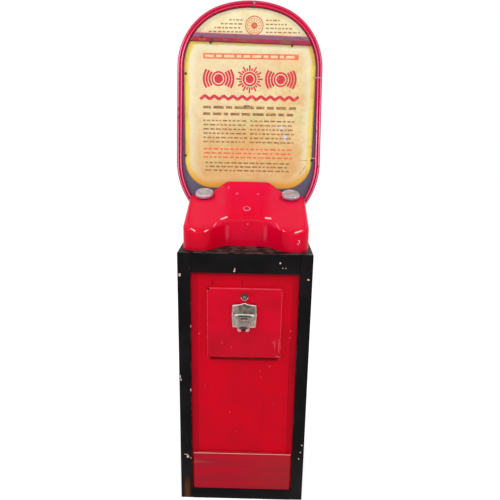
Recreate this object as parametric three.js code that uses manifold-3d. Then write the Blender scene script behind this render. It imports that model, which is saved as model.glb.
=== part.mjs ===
// Coin-operated hand vibrator: a wooden floor cabinet, a cast console with two knobs and an arched sign.
// Units are millimetres, +Z is up and the front faces -Y.
// The origin is on the floor under the cabinet's centre.
import * as THREE from "three";
import { mergeVertices } from "three/addons/utils/BufferGeometryUtils.js";
import Module from "manifold-3d";

const wasm = await Module();
wasm.setup();

// Driving sizes of the cabinet
const cabinetWidth = 400;
const cabinetDepth = 350;
const cabinetHeight = 845;
const boardThickness = 12;
const frameThickness = 20;
const stileWidth = 38;
const topRailHeight = 60;
const bottomRailHeight = 38;
const panelThickness = 10;
const rabbetWidth = 8;
const kickHeight = 134;
const kickThickness = 9;
const kickSideGap = 5;
const backTopRailHeight = 88;
const backBottomRailHeight = 60;
const battenWidth = 16;
const battenThickness = 13;
const leadHoleRadius = 15;
const leadHoleSide = 70;
const leadHoleDepth = 140;

// Driving sizes of the coin door and what it carries
const doorWidth = 225;
const doorHeight = 222;
const doorBelowRail = 48;
const doorDepth = 9.7;
const doorSheet = 2;
const doorCornerRadius = 6;
const doorLap = 12;
const doorTopLap = 10;
const apertureCornerRadius = 4;
const lockBelowDoorTop = 25;
const lockBodyRadius = 9.5;
const lockHeadRadius = 11;
const lockHeadThickness = 3;
const lockPlugRadius = 6.5;
const lockCamLength = 30;
const lockCamWidth = 12;
const lockCamThickness = 3;
const lockCamBehindPanel = 7;
const keywayWidth = 1.6;
const keywayHeight = 8;
const keywayDepth = 3;
const plateBelowLock = 5.5;
const slideThickness = 8;
const slideWidth = 40;
const slideTipWidth = 36;
const slideTaperLength = 12;
const slideTipChamfer = 6;
const slideReach = 96;
const slideTail = 60;
const slideTravel = 70;
const coinRadius = 11;
const coinCentreReach = 20;
const coinClearance = 1;
const thumbNotchRadius = 11.5;
const thumbNotchInset = 10;
const coinPlateThickness = 8;
const coinPlateWidth = 74;
const coinPlateHeight = 71;
const coinPlatePeak = 7;
const coinPlatePeakHalf = 10;
const coinPlateShoulder = 3;
const coinPlateSwell = 2;
const coinPlateFootInset = 3;
const channelWall = 7;
const channelLength = 135;
const flangeThickness = 3;
const flangeSide = 9;
const flangeBelow = 12;
const flangeAbove = 14;
const leverSwing = THREE.MathUtils.degToRad(60);
const leverWidth = 8;
const leverThickness = 6;
const leverClearance = 4.5;
const leverTipLength = 2;
const leverHubRadius = 9;
const leverSlotGap = 2;
const leverSlotBehindCoin = 4;
const leverCaseGap = 4;
const timerWidth = 50;
const timerHeight = 76;
const timerLength = 60;
const timerAheadOfPivot = 6;
const timerShaftRadius = 3;
const timerShaftLength = 20;
const timerSocketDepth = 25;
const hingeLength = 120;
const hingeKnuckleRadius = 3.3;
const hingePinRadius = 1.5;
const hingeKnuckleGap = 0.7;
const hingeLeafRise = 10;
const leafThickness = 1.2;
const leafSideGap = 0.5;

// Driving sizes of the coin's way down and the cash box
const chuteWall = 2;
const chuteHeight = 76;
const tubeWidth = 44;
const tubeDepth = 46;
const tubeBelowChute = 13.1;
const tubeBottom = 125;
const cashBoxWidth = 160;
const cashBoxLength = 180;
const cashBoxHeight = 95;
const cashBoxWall = 2;
const cashBoxBehindPanel = 5;
const cashKnobHeight = 57;
const cashKnobRadius = 9;
const cashKnobLength = 16;

// Driving sizes of the back door
const backHingeLength = 600;
const backHingeKnuckles = 5;
const backKnuckleRadius = 3.5;
const backKnuckleGap = 0.2;
const backDoorGap = 1;
const backLeafWidth = 15;
const backLeafEdge = 1;
const backLockInset = 38;
const backCamGap = 2;

// Driving sizes of the console casting
const knobToCastingSide = 48;
const castingFront = 27;
const knobToCastingBack = 34;
const castingRecess = 92;
const castingRecessHalfWidth = 62;
const castingLobeStart = 118;
const castingWall = 5;
const castingSlopeDrop = 0.6;
const castingEdgeRadius = 10;
const castingMiddleFromBack = 28;
const recessCornerRadius = 26;
const lobeInnerRadius = 42;
const lobeOuterRadius = 36;
const rearCornerRadius = 40;
const palmFrontDepth = 40;
const palmFrontHeight = 67;
const palmSlope = 0.344;
const humpFrontRise = 3;
const humpRiseRate = 0.214;
const humpTopFront = 40;
const humpTopRear = 58;
const humpFootFront = 72;
const humpFootRear = 128;
const humpEndFromBack = 12;
const screwBehindRecess = 39;
const washerRadius = 12.5;
const washerCrown = 3.5;
const washerSeatRadius = 7;
const washerRimHeight = 2;
const washerHeight = 3;
const washerSeatHeight = 1.6;
const screwShank = 3;
const screwLength = 26;
const screwPoint = 2;
const screwHeadRadius = 6;
const screwHeadRim = 3.2;
const screwHeadHeight = 4;
const blockWidth = 44;
const blockToMotor = 9;
const blockSlopeLength = 18;
const blockRearHeight = 40;
const blockGap = 6;
const blockTopGap = 2.5;

// Driving sizes of the knobs and the vibrating gear
const knobSpacing = 282;
const knobDepth = 228;
const knobRadius = 29;
const knobThickness = 12;
const knobLift = 5;
const knobSocketDepth = 8;
const knobBevel = 3;
const knobRimInset = 1.5;
const knobCrownInset = 4;
const knobDishInset = 7;
const knobRimDrop = 0.8;
const knobDishDepth = 1;
const knobMiddleDrop = 0.4;
const stemRadius = 6;
const stemBendRadius = 30;
const stemBelowSkin = 18;
const stemFootRadius = 14;
const stemFootThickness = 3;
const grommetHoleRadius = 11.3;
const grommetInnerRadius = 8.5;
const grommetFlangeRadius = 15;
const grommetFlangeTop = 2.3;
const plateThickness = 3;
const mechanismBeyondKnob = 19;
const mechanismAheadOfKnob = 48;
const cradleSideInset = 5;
const mechanismDepth = 72;
const springRadius = 9;
const springWire = 2.4;
const springHeight = 24;
const springTurns = 5;
const springInsideKnob = 11;
const springInset = 13;
const motorRadius = 40;
const motorLength = 100;
const motorShaftRadius = 5;
const motorFootHeight = 6;
const motorFootEndInset = 8;
const motorFootHalfWidth = 28;
const motorFootBelowAxis = 24;
const bearingRadius = 24.8;
const bearingLength = 7;
const eccentricRadius = 30;
const eccentricThickness = 14;
const eccentricGap = 3;
const eccentricHubWall = 6;
const shaftBeyondWeight = 3;

// Driving sizes of the sign
const signHalfWidth = 229;
const signHeight = 732;
const signLowerRadius = 236;
const signShoulderRadius = 194;
const signShoulderHeight = 532;
const railWidth = 18;
const railDepth = 22;
const railGroove = 2.5;
const railGrooveHalf = 2;
const railShoulder = 4;
const railEdgeRound = 1;
const railLipDrop = 0.4;
const railSlotBehindMiddle = 0.5;
const railSlotPlay = 0.5;
const railSlotDepth = 8;
const railJointHalf = 1.5;
const sheetThickness = 2;
const sheetEdgePlay = 1.5;
const printThickness = 1.5;
const printInset = 20;
const printBottom = 154;
const printCornerRadius = 90;
const printSeamHalf = 1;
const crossbarBelowTop = 123;
const crossbarHeight = 26;
const crossbarThickness = 8;
const crossbarEndGap = 1.5;
const crossbarTilt = THREE.MathUtils.degToRad(1.3);
const strapWidth = 25;
const strapThickness = 4;
const strapSpacing = 150;
const strapHeight = 300;
const strapFoot = 42;
const strapStraight = 180;
const strapBendRise = 16;
const strapBendOffset = 2;

// How finely round shapes are divided
const castingCornerSteps = 5;
const castingStraights = [2, 2, 7, 8, 7, 2, 2, 5];
const outerSkinShares = [0.1, 0.22, 0.34, 0.45, 0.56, 0.67, 0.76, 0.84, 0.92];
const innerSkinShares = [0.2, 0.4, 0.54, 0.67, 0.84];
const outerEdgeSteps = 4;
const innerEdgeSteps = 2;
const stemSteps = 18;
const stemSides = 12;
const springStepsPerTurn = 8;
const springSides = 5;
const railSteps = 76;

// Clearances, how far joined pieces run into each other, and how far cutters reach past what they cut
const seat = 0.3;
const running = 0.3;
const slotClearance = 0.6;
const jointOverlap = 1;
const cutOver = 5;

// Planes and places that follow from the sizes
const front = -cabinetDepth / 2;
const back = cabinetDepth / 2;
const halfWidth = cabinetWidth / 2;
const sideInside = halfWidth - boardThickness;
const frameBack = front + frameThickness;
const panelFace = frameBack - panelThickness;
const stileInside = halfWidth - stileWidth;
const topBoardUnderside = cabinetHeight - boardThickness;
const backDoorInside = back - boardThickness;
const doorFace = panelFace - seat - doorDepth;
const doorTop = cabinetHeight - topRailHeight - doorBelowRail;
const doorBottom = doorTop - doorHeight;
const lockHeight = doorTop - lockBelowDoorTop;
const plateTop = lockHeight - lockHeadRadius - plateBelowLock - coinPlatePeak;
const slideTop = plateTop - coinPlateHeight / 2;
const plateFace = doorFace - seat - coinPlateThickness;
const slotHalfWidth = slideWidth / 2 + slotClearance;
const slotBottom = slideTop - slideThickness - slotClearance;
const slotTop = slideTop + slotClearance;
const channelFront = doorFace + doorSheet + seat;
const channelBack = channelFront + channelLength;
const slideRear = doorFace + slideTail;
const channelUnderside = slotBottom - channelWall;
const chuteTop = channelUnderside - seat;
const coinDropPlace = plateFace - coinCentreReach + slideTravel;
const tubeTop = chuteTop - chuteHeight - tubeBelowChute;
const hingeAxisY = panelFace - hingeKnuckleGap - hingeKnuckleRadius;
const hingeAxisZ = doorBottom - hingeKnuckleGap - hingeKnuckleRadius;
const castingHalfWidth = knobSpacing / 2 + knobToCastingSide;
const castingBack = knobDepth + knobToCastingBack;
const castingDrop = castingWall + castingSlopeDrop;
const humpRearDepth = castingBack - humpEndFromBack;
const screwDepth = castingRecess + screwBehindRecess;
const mechanismHalfWidth = knobSpacing / 2 + mechanismBeyondKnob;
const mechanismFront = knobDepth - mechanismAheadOfKnob;
const motorMiddleY = front + mechanismFront + mechanismDepth / 2;
const signFront = front + castingBack + seat;
const signMiddle = signFront + railDepth / 2;
const railSlot = sheetThickness + 2 * railSlotPlay;
const sheetFront = signMiddle + railSlotBehindMiddle + railSlotPlay;
const crossbarBottom = signHeight - crossbarBelowTop;

// Finishes
const finish = (color, roughness, metalness) =>
  new THREE.MeshStandardMaterial({ color, roughness, metalness });
const blackPaint = finish("#141416", 0.45, 0);
const redPaint = finish("#c8051e", 0.4, 0);
const kickPaint = finish("#a01420", 0.6, 0);
const rawWood = finish("#b08a5c", 0.8, 0);
const redEnamel = finish("#eb0a37", 0.2, 0);
const nickel = finish("#b4b4b2", 0.35, 1);
const oldNickel = finish("#827d73", 0.45, 1);
const steel = finish("#8f9296", 0.4, 1);
const brass = finish("#b08d4f", 0.35, 1);
const rubber = finish("#1b1b1b", 0.8, 0);
const motorPaint = finish("#3c4146", 0.5, 0.3);
const signRed = finish("#c8143c", 0.35, 0);
const greySheet = finish("#5a5869", 0.6, 0.3);
const creamPrint = finish("#f0e6be", 0.6, 0);
const tanPrint = finish("#e6cd96", 0.6, 0);

// Solids: joining, cutting and turning into meshes
function toSolid(geometry) {
  const bare = geometry.clone();
  bare.deleteAttribute("normal");
  bare.deleteAttribute("uv");
  const merged = mergeVertices(bare, 1e-4);
  return new wasm.Manifold(
    new wasm.Mesh({
      numProp: 3,
      vertProperties: new Float32Array(merged.attributes.position.array),
      triVerts: new Uint32Array(merged.index.array),
    }),
  );
}

function toGeometry(solid) {
  const { vertProperties, triVerts, numProp } = solid.getMesh();
  const positions = new Float32Array(triVerts.length * 3);
  triVerts.forEach((vertex, i) => {
    for (let k = 0; k < 3; k++) positions[i * 3 + k] = vertProperties[vertex * numProp + k];
  });
  const geometry = new THREE.BufferGeometry();
  geometry.setAttribute("position", new THREE.BufferAttribute(positions, 3));
  geometry.computeVertexNormals();
  return geometry;
}

function join(...geometries) {
  return toGeometry(geometries.map(toSolid).reduce((a, b) => a.add(b)));
}

function cut(base, ...tools) {
  return toGeometry(tools.map(toSolid).reduce((a, b) => a.subtract(b), toSolid(base)));
}

const machine = new THREE.Group();

function place(name, geometry, material, parent = machine) {
  const mesh = new THREE.Mesh(geometry, material);
  mesh.name = name;
  parent.add(mesh);
  return mesh;
}

function block(x0, x1, y0, y1, z0, z1) {
  return new THREE.BoxGeometry(x1 - x0, y1 - y0, z1 - z0).translate(
    (x0 + x1) / 2,
    (y0 + y1) / 2,
    (z0 + z1) / 2,
  );
}

// A round bar centred on a point, lying along one of the three axes
function bar(radius, length, axis, x, y, z, segments = 24) {
  const geometry = new THREE.CylinderGeometry(radius, radius, length, segments);
  if (axis === "x") geometry.rotateZ(Math.PI / 2);
  if (axis === "z") geometry.rotateX(Math.PI / 2);
  return geometry.translate(x, y, z);
}

// A plan outline raised from z0 to z1
function raise(shape, z0, z1, curveSegments = 12) {
  const geometry = new THREE.ExtrudeGeometry(shape, {
    depth: z1 - z0,
    bevelEnabled: false,
    curveSegments,
  });
  return geometry.translate(0, 0, z0);
}

// A front-view outline (x across, y up) made into a plate between y0 and y1
function plate(shape, y0, y1, curveSegments = 12) {
  const geometry = new THREE.ExtrudeGeometry(shape, {
    depth: y1 - y0,
    bevelEnabled: false,
    curveSegments,
  });
  return geometry.rotateX(Math.PI / 2).translate(0, y1, 0);
}

// A side-view outline (x stands for Y, y for Z) made into a bar from x0 to x1
function sideBar(shape, x0, x1, curveSegments = 12) {
  const geometry = new THREE.ExtrudeGeometry(shape, {
    depth: x1 - x0,
    bevelEnabled: false,
    curveSegments,
  });
  return geometry.rotateZ(Math.PI / 2).rotateY(Math.PI / 2).translate(x0, 0, 0);
}

function polygon(points) {
  return new THREE.Shape(points.map(([x, y]) => new THREE.Vector2(x, y)));
}

function roundedRectangle(x0, x1, y0, y1, radius) {
  const shape = new THREE.Shape();
  shape.moveTo(x0 + radius, y0);
  shape.absarc(x1 - radius, y0 + radius, radius, -Math.PI / 2, 0);
  shape.absarc(x1 - radius, y1 - radius, radius, 0, Math.PI / 2);
  shape.absarc(x0 + radius, y1 - radius, radius, Math.PI / 2, Math.PI);
  shape.absarc(x0 + radius, y0 + radius, radius, Math.PI, Math.PI * 1.5);
  return shape;
}

// Cabinet: sides, bottom and top
function buildCarcass() {
  for (const [name, x] of [
    ["left_side_panel", -halfWidth],
    ["right_side_panel", sideInside],
  ]) {
    place(
      name,
      block(x, x + boardThickness, frameBack + seat, back, 0, topBoardUnderside - seat),
      blackPaint,
    );
  }
  const inside = sideInside - seat;
  place(
    "bottom_board",
    block(-inside, inside, frameBack + seat, backDoorInside - seat, 0, boardThickness),
    rawWood,
  );
  const top = block(-halfWidth, halfWidth, frameBack + seat, back, topBoardUnderside, cabinetHeight);
  const leadHoleY = front + leadHoleDepth;
  const leadHole = bar(leadHoleRadius, boardThickness * 3, "z", leadHoleSide, leadHoleY, topBoardUnderside);
  place("top_board", cut(top, leadHole), blackPaint);
}

// Cabinet: the rabbeted front frame, its panel and the kick board
function buildFrontFrame() {
  for (const [name, side] of [
    ["front_left_stile", -1],
    ["front_right_stile", 1],
  ]) {
    const outline = polygon([
      [side * halfWidth, front],
      [side * stileInside, front],
      [side * stileInside, panelFace - seat],
      [side * (stileInside + rabbetWidth), panelFace - seat],
      [side * (stileInside + rabbetWidth), frameBack],
      [side * halfWidth, frameBack],
    ]);
    place(name, raise(outline, 0, cabinetHeight), blackPaint);
  }
  const railEnd = stileInside - seat;
  const topRailBottom = cabinetHeight - topRailHeight;
  const topRail = polygon([
    [front, topRailBottom],
    [panelFace - seat, topRailBottom],
    [panelFace - seat, topRailBottom + rabbetWidth],
    [frameBack, topRailBottom + rabbetWidth],
    [frameBack, cabinetHeight],
    [front, cabinetHeight],
  ]);
  const tongueEnd = stileInside + rabbetWidth - seat;
  const tongue = (z0, z1) => block(-tongueEnd, tongueEnd, panelFace, frameBack, z0, z1);
  const topTongue = tongue(topRailBottom + rabbetWidth, cabinetHeight);
  place("front_top_rail", join(sideBar(topRail, -railEnd, railEnd), topTongue), blackPaint);
  const bottomRail = polygon([
    [front, 0],
    [frameBack, 0],
    [frameBack, bottomRailHeight - rabbetWidth],
    [panelFace - seat, bottomRailHeight - rabbetWidth],
    [panelFace - seat, bottomRailHeight],
    [front, bottomRailHeight],
  ]);
  const bottomTongue = tongue(0, bottomRailHeight - rabbetWidth);
  place("front_bottom_rail", join(sideBar(bottomRail, -railEnd, railEnd), bottomTongue), blackPaint);

  const panelLow = bottomRailHeight - rabbetWidth + seat;
  const panelHigh = topRailBottom + rabbetWidth - seat;
  const panel = polygon([
    [-tongueEnd, panelLow],
    [tongueEnd, panelLow],
    [tongueEnd, panelHigh],
    [-tongueEnd, panelHigh],
  ]);
  const apertureHalf = doorWidth / 2 - doorLap;
  const apertureLow = doorBottom + doorLap;
  const apertureHigh = doorTop - doorTopLap;
  panel.holes.push(
    roundedRectangle(-apertureHalf, apertureHalf, apertureLow, apertureHigh, apertureCornerRadius),
  );
  place("front_panel", plate(panel, panelFace, frameBack), redPaint);
  const kickHalf = stileInside - kickSideGap;
  const kick = block(
    -kickHalf,
    kickHalf,
    panelFace - seat - kickThickness,
    panelFace - seat,
    bottomRailHeight + seat,
    bottomRailHeight + kickHeight,
  );
  place("kick_board", kick, kickPaint);
}

// Cabinet: back rails, stop batten and the hinged back door with its lock
function buildBack() {
  const inside = sideInside - seat;
  const doorBase = backBottomRailHeight + backDoorGap;
  const doorHead = topBoardUnderside - backTopRailHeight - backDoorGap;
  place(
    "back_top_rail",
    block(-inside, inside, backDoorInside, back, doorHead + backDoorGap, topBoardUnderside - seat),
    blackPaint,
  );
  place(
    "back_bottom_rail",
    block(-inside, inside, backDoorInside, back, 0, backBottomRailHeight),
    blackPaint,
  );
  const battenBack = backDoorInside - seat;
  place(
    "back_stop_batten",
    block(
      inside - battenWidth,
      inside,
      battenBack - battenThickness,
      battenBack,
      boardThickness + seat,
      topBoardUnderside - seat,
    ),
    rawWood,
  );

  const doorHalf = sideInside - backDoorGap;
  const lockX = doorHalf - backLockInset;
  const lockZ = (doorBase + doorHead) / 2;
  const door = block(-doorHalf, doorHalf, backDoorInside, back, doorBase, doorHead);
  const lockHole = bar(lockBodyRadius + seat, boardThickness * 3, "y", lockX, back, lockZ);
  place("back_door", cut(door, lockHole), blackPaint);
  const camFront = battenBack - battenThickness - backCamGap;
  buildLock("back_lock", lockX, lockZ, back, camFront, 1, 0);
  buildBackHinge(lockZ);
}

// The back door hangs on one long hinge of alternating knuckles behind the left side
function buildBackHinge(middleZ) {
  const axisX = -sideInside + seat;
  const leafFace = back + seat;
  const axisY = leafFace + backKnuckleGap + backKnuckleRadius;
  const knuckle = backHingeLength / backHingeKnuckles;
  const reach = backKnuckleRadius + running + backKnuckleGap;
  const height = knuckle / 2 - running;
  const parts = { fixed: [], moving: [] };
  const reliefs = { fixed: [], moving: [] };
  for (let i = 0; i < backHingeKnuckles; i++) {
    const centre = middleZ + (i - (backHingeKnuckles - 1) / 2) * knuckle;
    const owner = i % 2 ? "moving" : "fixed";
    const other = i % 2 ? "fixed" : "moving";
    parts[owner].push(bar(backKnuckleRadius, 2 * height, "z", axisX, axisY, centre, 16));
    reliefs[other].push(
      block(
        axisX - reach,
        axisX + reach,
        leafFace - cutOver,
        axisY + reach,
        centre - height - running,
        centre + height + running,
      ),
    );
  }
  const low = middleZ - backHingeLength / 2 + running;
  const high = middleZ + backHingeLength / 2 - running;
  const bore = bar(hingePinRadius + running, backHingeLength + 2 * cutOver, "z", axisX, axisY, middleZ, 12);
  const leaf = (x0, x1) => block(x0, x1, leafFace, leafFace + leafThickness, low, high);
  const fixedLeaf = cut(leaf(-halfWidth + backLeafEdge, axisX), ...reliefs.fixed);
  const movingLeaf = cut(leaf(axisX, axisX + backLeafWidth), ...reliefs.moving);
  place("back_hinge_fixed_leaf", cut(join(fixedLeaf, ...parts.fixed), bore), steel);
  place("back_hinge_moving_leaf", cut(join(movingLeaf, ...parts.moving), bore), steel);
  place(
    "back_hinge_pin",
    bar(hingePinRadius, backHingeLength, "z", axisX, axisY, middleZ, 12),
    steel,
  );
}

// A cam lock: outward is +1 when the key side faces +Y and -1 when it faces -Y.
// The cam points straight up or to -X when it is unlocked.
function buildLock(name, x, z, surface, camFace, outward, sideways) {
  const headInner = surface + outward * seat;
  const headOuter = headInner + outward * lockHeadThickness;
  const inner = camFace + outward * running;
  const span = (a, b, r) => bar(r, Math.abs(a - b), "y", x, (a + b) / 2, z, 24);
  const body = join(
    span(headOuter, headInner, lockHeadRadius),
    span(headInner + outward * jointOverlap, inner, lockBodyRadius),
  );
  const boreOuter = headOuter + outward * cutOver;
  const boreInner = inner - outward * cutOver;
  const bore = span(boreOuter, boreInner, lockPlugRadius + running);
  place(`${name}_case`, cut(body, bore), nickel);

  const camBack = camFace - outward * lockCamThickness;
  const plug = span(headOuter, camBack, lockPlugRadius);
  const halfCam = lockCamWidth / 2;
  const [yLow, yHigh] = [Math.min(camFace, camBack), Math.max(camFace, camBack)];
  const cam = sideways
    ? block(x - lockCamLength, x, yLow, yHigh, z - halfCam, z + halfCam)
    : block(x - halfCam, x + halfCam, yLow, yHigh, z, z + lockCamLength);
  const keyway = block(
    x - keywayWidth / 2,
    x + keywayWidth / 2,
    headOuter - keywayDepth,
    headOuter + keywayDepth,
    z - keywayHeight / 2,
    z + keywayHeight / 2,
  );
  place(`${name}_cam`, cut(join(plug, cam), keyway), nickel);
}

// Coin door: a folded steel pan on a small hinge under its bottom edge
function buildCoinDoor() {
  const half = doorWidth / 2;
  const rim = panelFace - seat;
  const outer = plate(
    roundedRectangle(-half, half, doorBottom, doorTop, doorCornerRadius),
    doorFace,
    rim,
    4,
  );
  const pocket = plate(
    roundedRectangle(
      -half + doorSheet,
      half - doorSheet,
      doorBottom + doorSheet,
      doorTop - doorSheet,
      doorCornerRadius - doorSheet,
    ),
    doorFace + doorSheet,
    rim + cutOver,
    4,
  );
  const slot = slotCutter();
  const lockHole = bar(lockBodyRadius + seat, 2 * doorDepth, "y", 0, doorFace, lockHeight);
  const notchHalf = hingeLength / 2 + 2 * leafSideGap;
  const hingeNotch = block(
    -notchHalf,
    notchHalf,
    rim - leafThickness - 3 * seat,
    rim + cutOver,
    doorBottom - cutOver,
    doorBottom + doorSheet + 2 * leafSideGap,
  );
  place("coin_door", cut(outer, pocket, slot, lockHole, hingeNotch), redPaint);
  const camFace = frameBack + lockCamBehindPanel;
  buildLock("coin_door_lock", 0, lockHeight, doorFace, camFace, -1, 1);
  buildDoorHinge();
}

// The opening that the coin slide runs through, in the plate, the door and the channel
function slotCutter() {
  const y0 = plateFace - cutOver;
  const y1 = channelBack + cutOver;
  return block(-slotHalfWidth, slotHalfWidth, y0, y1, slotBottom, slotTop);
}

function buildDoorHinge() {
  const middle = hingeLength / 4;
  const end = hingeLength / 2;
  const across = (x0, x1, r) =>
    bar(r, x1 - x0, "x", (x0 + x1) / 2, hingeAxisY, hingeAxisZ, 16);
  const bore = across(-end - cutOver, end + cutOver, hingePinRadius + running);
  const leafBack = panelFace - seat;
  const leafTop = doorBottom + hingeLeafRise;
  const relief = middle + running;
  const reliefTop = hingeAxisZ + hingeKnuckleRadius + 2 * running;
  const fixedPlate = cut(
    block(-end, end, leafBack - leafThickness, leafBack, hingeAxisZ, leafTop),
    block(-relief, relief, leafBack - cutOver, leafBack + cutOver, 0, reliefTop),
  );
  const fixed = join(
    fixedPlate,
    across(-end, -middle - running, hingeKnuckleRadius),
    across(middle + running, end, hingeKnuckleRadius),
  );
  place("coin_door_fixed_leaf", cut(fixed, bore), steel);
  const movingPlate = block(
    -middle + leafSideGap,
    middle - leafSideGap,
    doorFace + 2 * leafSideGap,
    hingeAxisY + jointOverlap,
    doorBottom - seat - leafThickness,
    doorBottom - seat,
  );
  const moving = join(movingPlate, across(-middle, middle, hingeKnuckleRadius));
  place("coin_door_moving_leaf", cut(moving, bore), steel);
  place("coin_door_hinge_pin", across(-end, end, hingePinRadius), steel);
}

// Coin plate: a shield with swelling sides and a low peak
function buildCoinPlate() {
  const half = coinPlateWidth / 2;
  const footHalf = half - coinPlateFootInset;
  const swell = half + coinPlateSwell;
  const headHalf = half - coinPlateSwell;
  const bottom = plateTop - coinPlateHeight;
  const shoulder = plateTop + coinPlateShoulder;
  const peakControl = plateTop + 2 * coinPlatePeak - coinPlateShoulder;
  const shield = new THREE.Shape();
  shield.moveTo(-footHalf, bottom);
  shield.lineTo(footHalf, bottom);
  shield.quadraticCurveTo(swell, slideTop, headHalf, plateTop);
  shield.lineTo(coinPlatePeakHalf, shoulder);
  shield.quadraticCurveTo(0, peakControl, -coinPlatePeakHalf, shoulder);
  shield.lineTo(-headHalf, plateTop);
  shield.quadraticCurveTo(-swell, slideTop, -footHalf, bottom);
  const body = plate(shield, plateFace, doorFace - seat, 6);
  place("coin_plate", cut(body, slotCutter()), oldNickel);
}

// Coin slide: a flat bar with a coin hole and a thumb notch in its tip
function buildCoinSlide() {
  const tip = plateFace - slideReach;
  const half = slideWidth / 2;
  const tipHalf = slideTipWidth / 2;
  const outline = polygon([
    [-half, slideRear],
    [-half, plateFace],
    [-tipHalf, tip + slideTaperLength],
    [-tipHalf + slideTipChamfer / 3, tip + slideTipChamfer / 2],
    [-tipHalf + slideTipChamfer, tip],
    [tipHalf - slideTipChamfer, tip],
    [tipHalf - slideTipChamfer / 3, tip + slideTipChamfer / 2],
    [tipHalf, tip + slideTaperLength],
    [half, plateFace],
    [half, slideRear],
  ]);
  const body = raise(outline, slideTop - slideThickness, slideTop);
  const coinY = plateFace - coinCentreReach;
  const notchY = tip + thumbNotchInset;
  const coinHole = bar(coinRadius, slideThickness * 3, "z", 0, coinY, slideTop, 28);
  const notch = bar(thumbNotchRadius, slideThickness * 3, "z", 0, notchY, slideTop, 28);
  place("coin_slide", cut(body, coinHole, notch), oldNickel);
}

// Coin channel: the housing that the slide runs in, behind the door
function buildCoinChannel() {
  const outerHalf = slotHalfWidth + channelWall - slotClearance;
  const low = channelUnderside;
  const high = slotTop + channelWall;
  const flangeHalf = outerHalf + flangeSide;
  const flangeBack = channelFront + flangeThickness;
  const flange = block(
    -flangeHalf,
    flangeHalf,
    channelFront,
    flangeBack,
    low - flangeBelow,
    high + flangeAbove,
  );
  const body = block(-outerHalf, outerHalf, channelFront, channelBack, low, high);
  const holeRadius = coinRadius + coinClearance;
  const coinHole = bar(holeRadius, channelWall * 2, "z", 0, coinDropPlace, low, 28);
  const slotHalf = leverThickness / 2 + leverSlotGap;
  const leverSlot = block(
    -slotHalf,
    slotHalf,
    coinDropPlace + holeRadius + leverSlotBehindCoin,
    channelBack + cutOver,
    low - cutOver,
    high + cutOver,
  );
  place("coin_channel", cut(join(flange, body), slotCutter(), coinHole, leverSlot), steel);
}

// Coin chute: a short square funnel under the channel's coin hole
function buildCoinChute() {
  const inner = coinRadius + coinClearance;
  const half = inner + chuteWall;
  const bottom = chuteTop - chuteHeight;
  const outer = block(-half, half, coinDropPlace - half, coinDropPlace + half, bottom, chuteTop);
  const bore = block(
    -inner,
    inner,
    coinDropPlace - inner,
    coinDropPlace + inner,
    bottom - cutOver,
    chuteTop + cutOver,
  );
  place("coin_chute", cut(outer, bore), steel);
}

// Timer: a clockwork case beside the lever that the slide pushes
const leverPivotY = slideRear + slideTravel / 2 + leverWidth / 2 + leverClearance;
const leverReach = slideTravel / 2 / Math.tan(leverSwing / 2);
const leverPivotZ = slideTop - slideThickness / 2 - leverReach;

function buildTimer() {
  const caseX = leverThickness / 2 + leverCaseGap;
  const middleY = leverPivotY - timerAheadOfPivot;
  const body = block(
    caseX,
    caseX + timerWidth,
    middleY - timerLength / 2,
    middleY + timerLength / 2,
    chuteTop - timerHeight,
    chuteTop,
  );
  const socketRadius = timerShaftRadius + running;
  const socket = bar(socketRadius, 2 * timerSocketDepth, "x", caseX, leverPivotY, leverPivotZ, 20);
  place("timer_case", cut(body, socket), brass);

  const group = new THREE.Group();
  group.position.set(0, leverPivotY, leverPivotZ);
  machine.add(group);
  const length = (leverReach + slideThickness / 2) / Math.cos(leverSwing / 2) + leverTipLength;
  const half = leverThickness / 2;
  const arm = block(-half, half, -leverWidth / 2, leverWidth / 2, 0, length);
  const hub = bar(leverHubRadius, leverThickness, "x", 0, 0, 0);
  const shaft = bar(timerShaftRadius, timerShaftLength + half, "x", (timerShaftLength + half) / 2, 0, 0, 20);
  const lever = place("timer_lever", join(arm, hub, shaft), steel, group);
  lever.rotation.x = leverSwing / 2;
}

// Coin drop tube behind the front panel and the cash box that it feeds
function buildCashBox() {
  const tubeFront = frameBack + seat;
  const half = tubeWidth / 2;
  const tube = block(-half, half, tubeFront, tubeFront + tubeDepth, tubeBottom, tubeTop);
  const bore = block(
    -half + chuteWall,
    half - chuteWall,
    tubeFront + chuteWall,
    tubeFront + tubeDepth - chuteWall,
    tubeBottom - cutOver,
    tubeTop + cutOver,
  );
  place("coin_drop_tube", cut(tube, bore), steel);

  const boxFront = frameBack + cashBoxBehindPanel;
  const boxBack = boxFront + cashBoxLength;
  const boxHalf = cashBoxWidth / 2;
  const base = boardThickness + seat;
  const box = block(-boxHalf, boxHalf, boxFront, boxBack, base, base + cashBoxHeight);
  const hollow = block(
    -boxHalf + cashBoxWall,
    boxHalf - cashBoxWall,
    boxFront + cashBoxWall,
    boxBack - cashBoxWall,
    base + cashBoxWall,
    base + cashBoxHeight + cutOver,
  );
  const knobY = boxBack + cashKnobLength / 2 - jointOverlap;
  const knob = bar(cashKnobRadius, cashKnobLength, "y", 0, knobY, base + cashKnobHeight);
  place("cash_box", join(cut(box, hollow), knob), steel);
}

// Console casting: plan outline with two palm lobes, a front recess and rounded rear corners.
// Each corner is x, distance behind the cabinet's front, radius, and +1 where the wall bulges out.
// castingStraights says how many pieces each straight between two corners is divided into.
const castingCorners = [
  [castingRecessHalfWidth, castingRecess, recessCornerRadius, -1],
  [castingLobeStart, castingFront, lobeInnerRadius, 1],
  [castingHalfWidth, castingFront, lobeOuterRadius, 1],
  [castingHalfWidth, castingBack, rearCornerRadius, 1],
];

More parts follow.
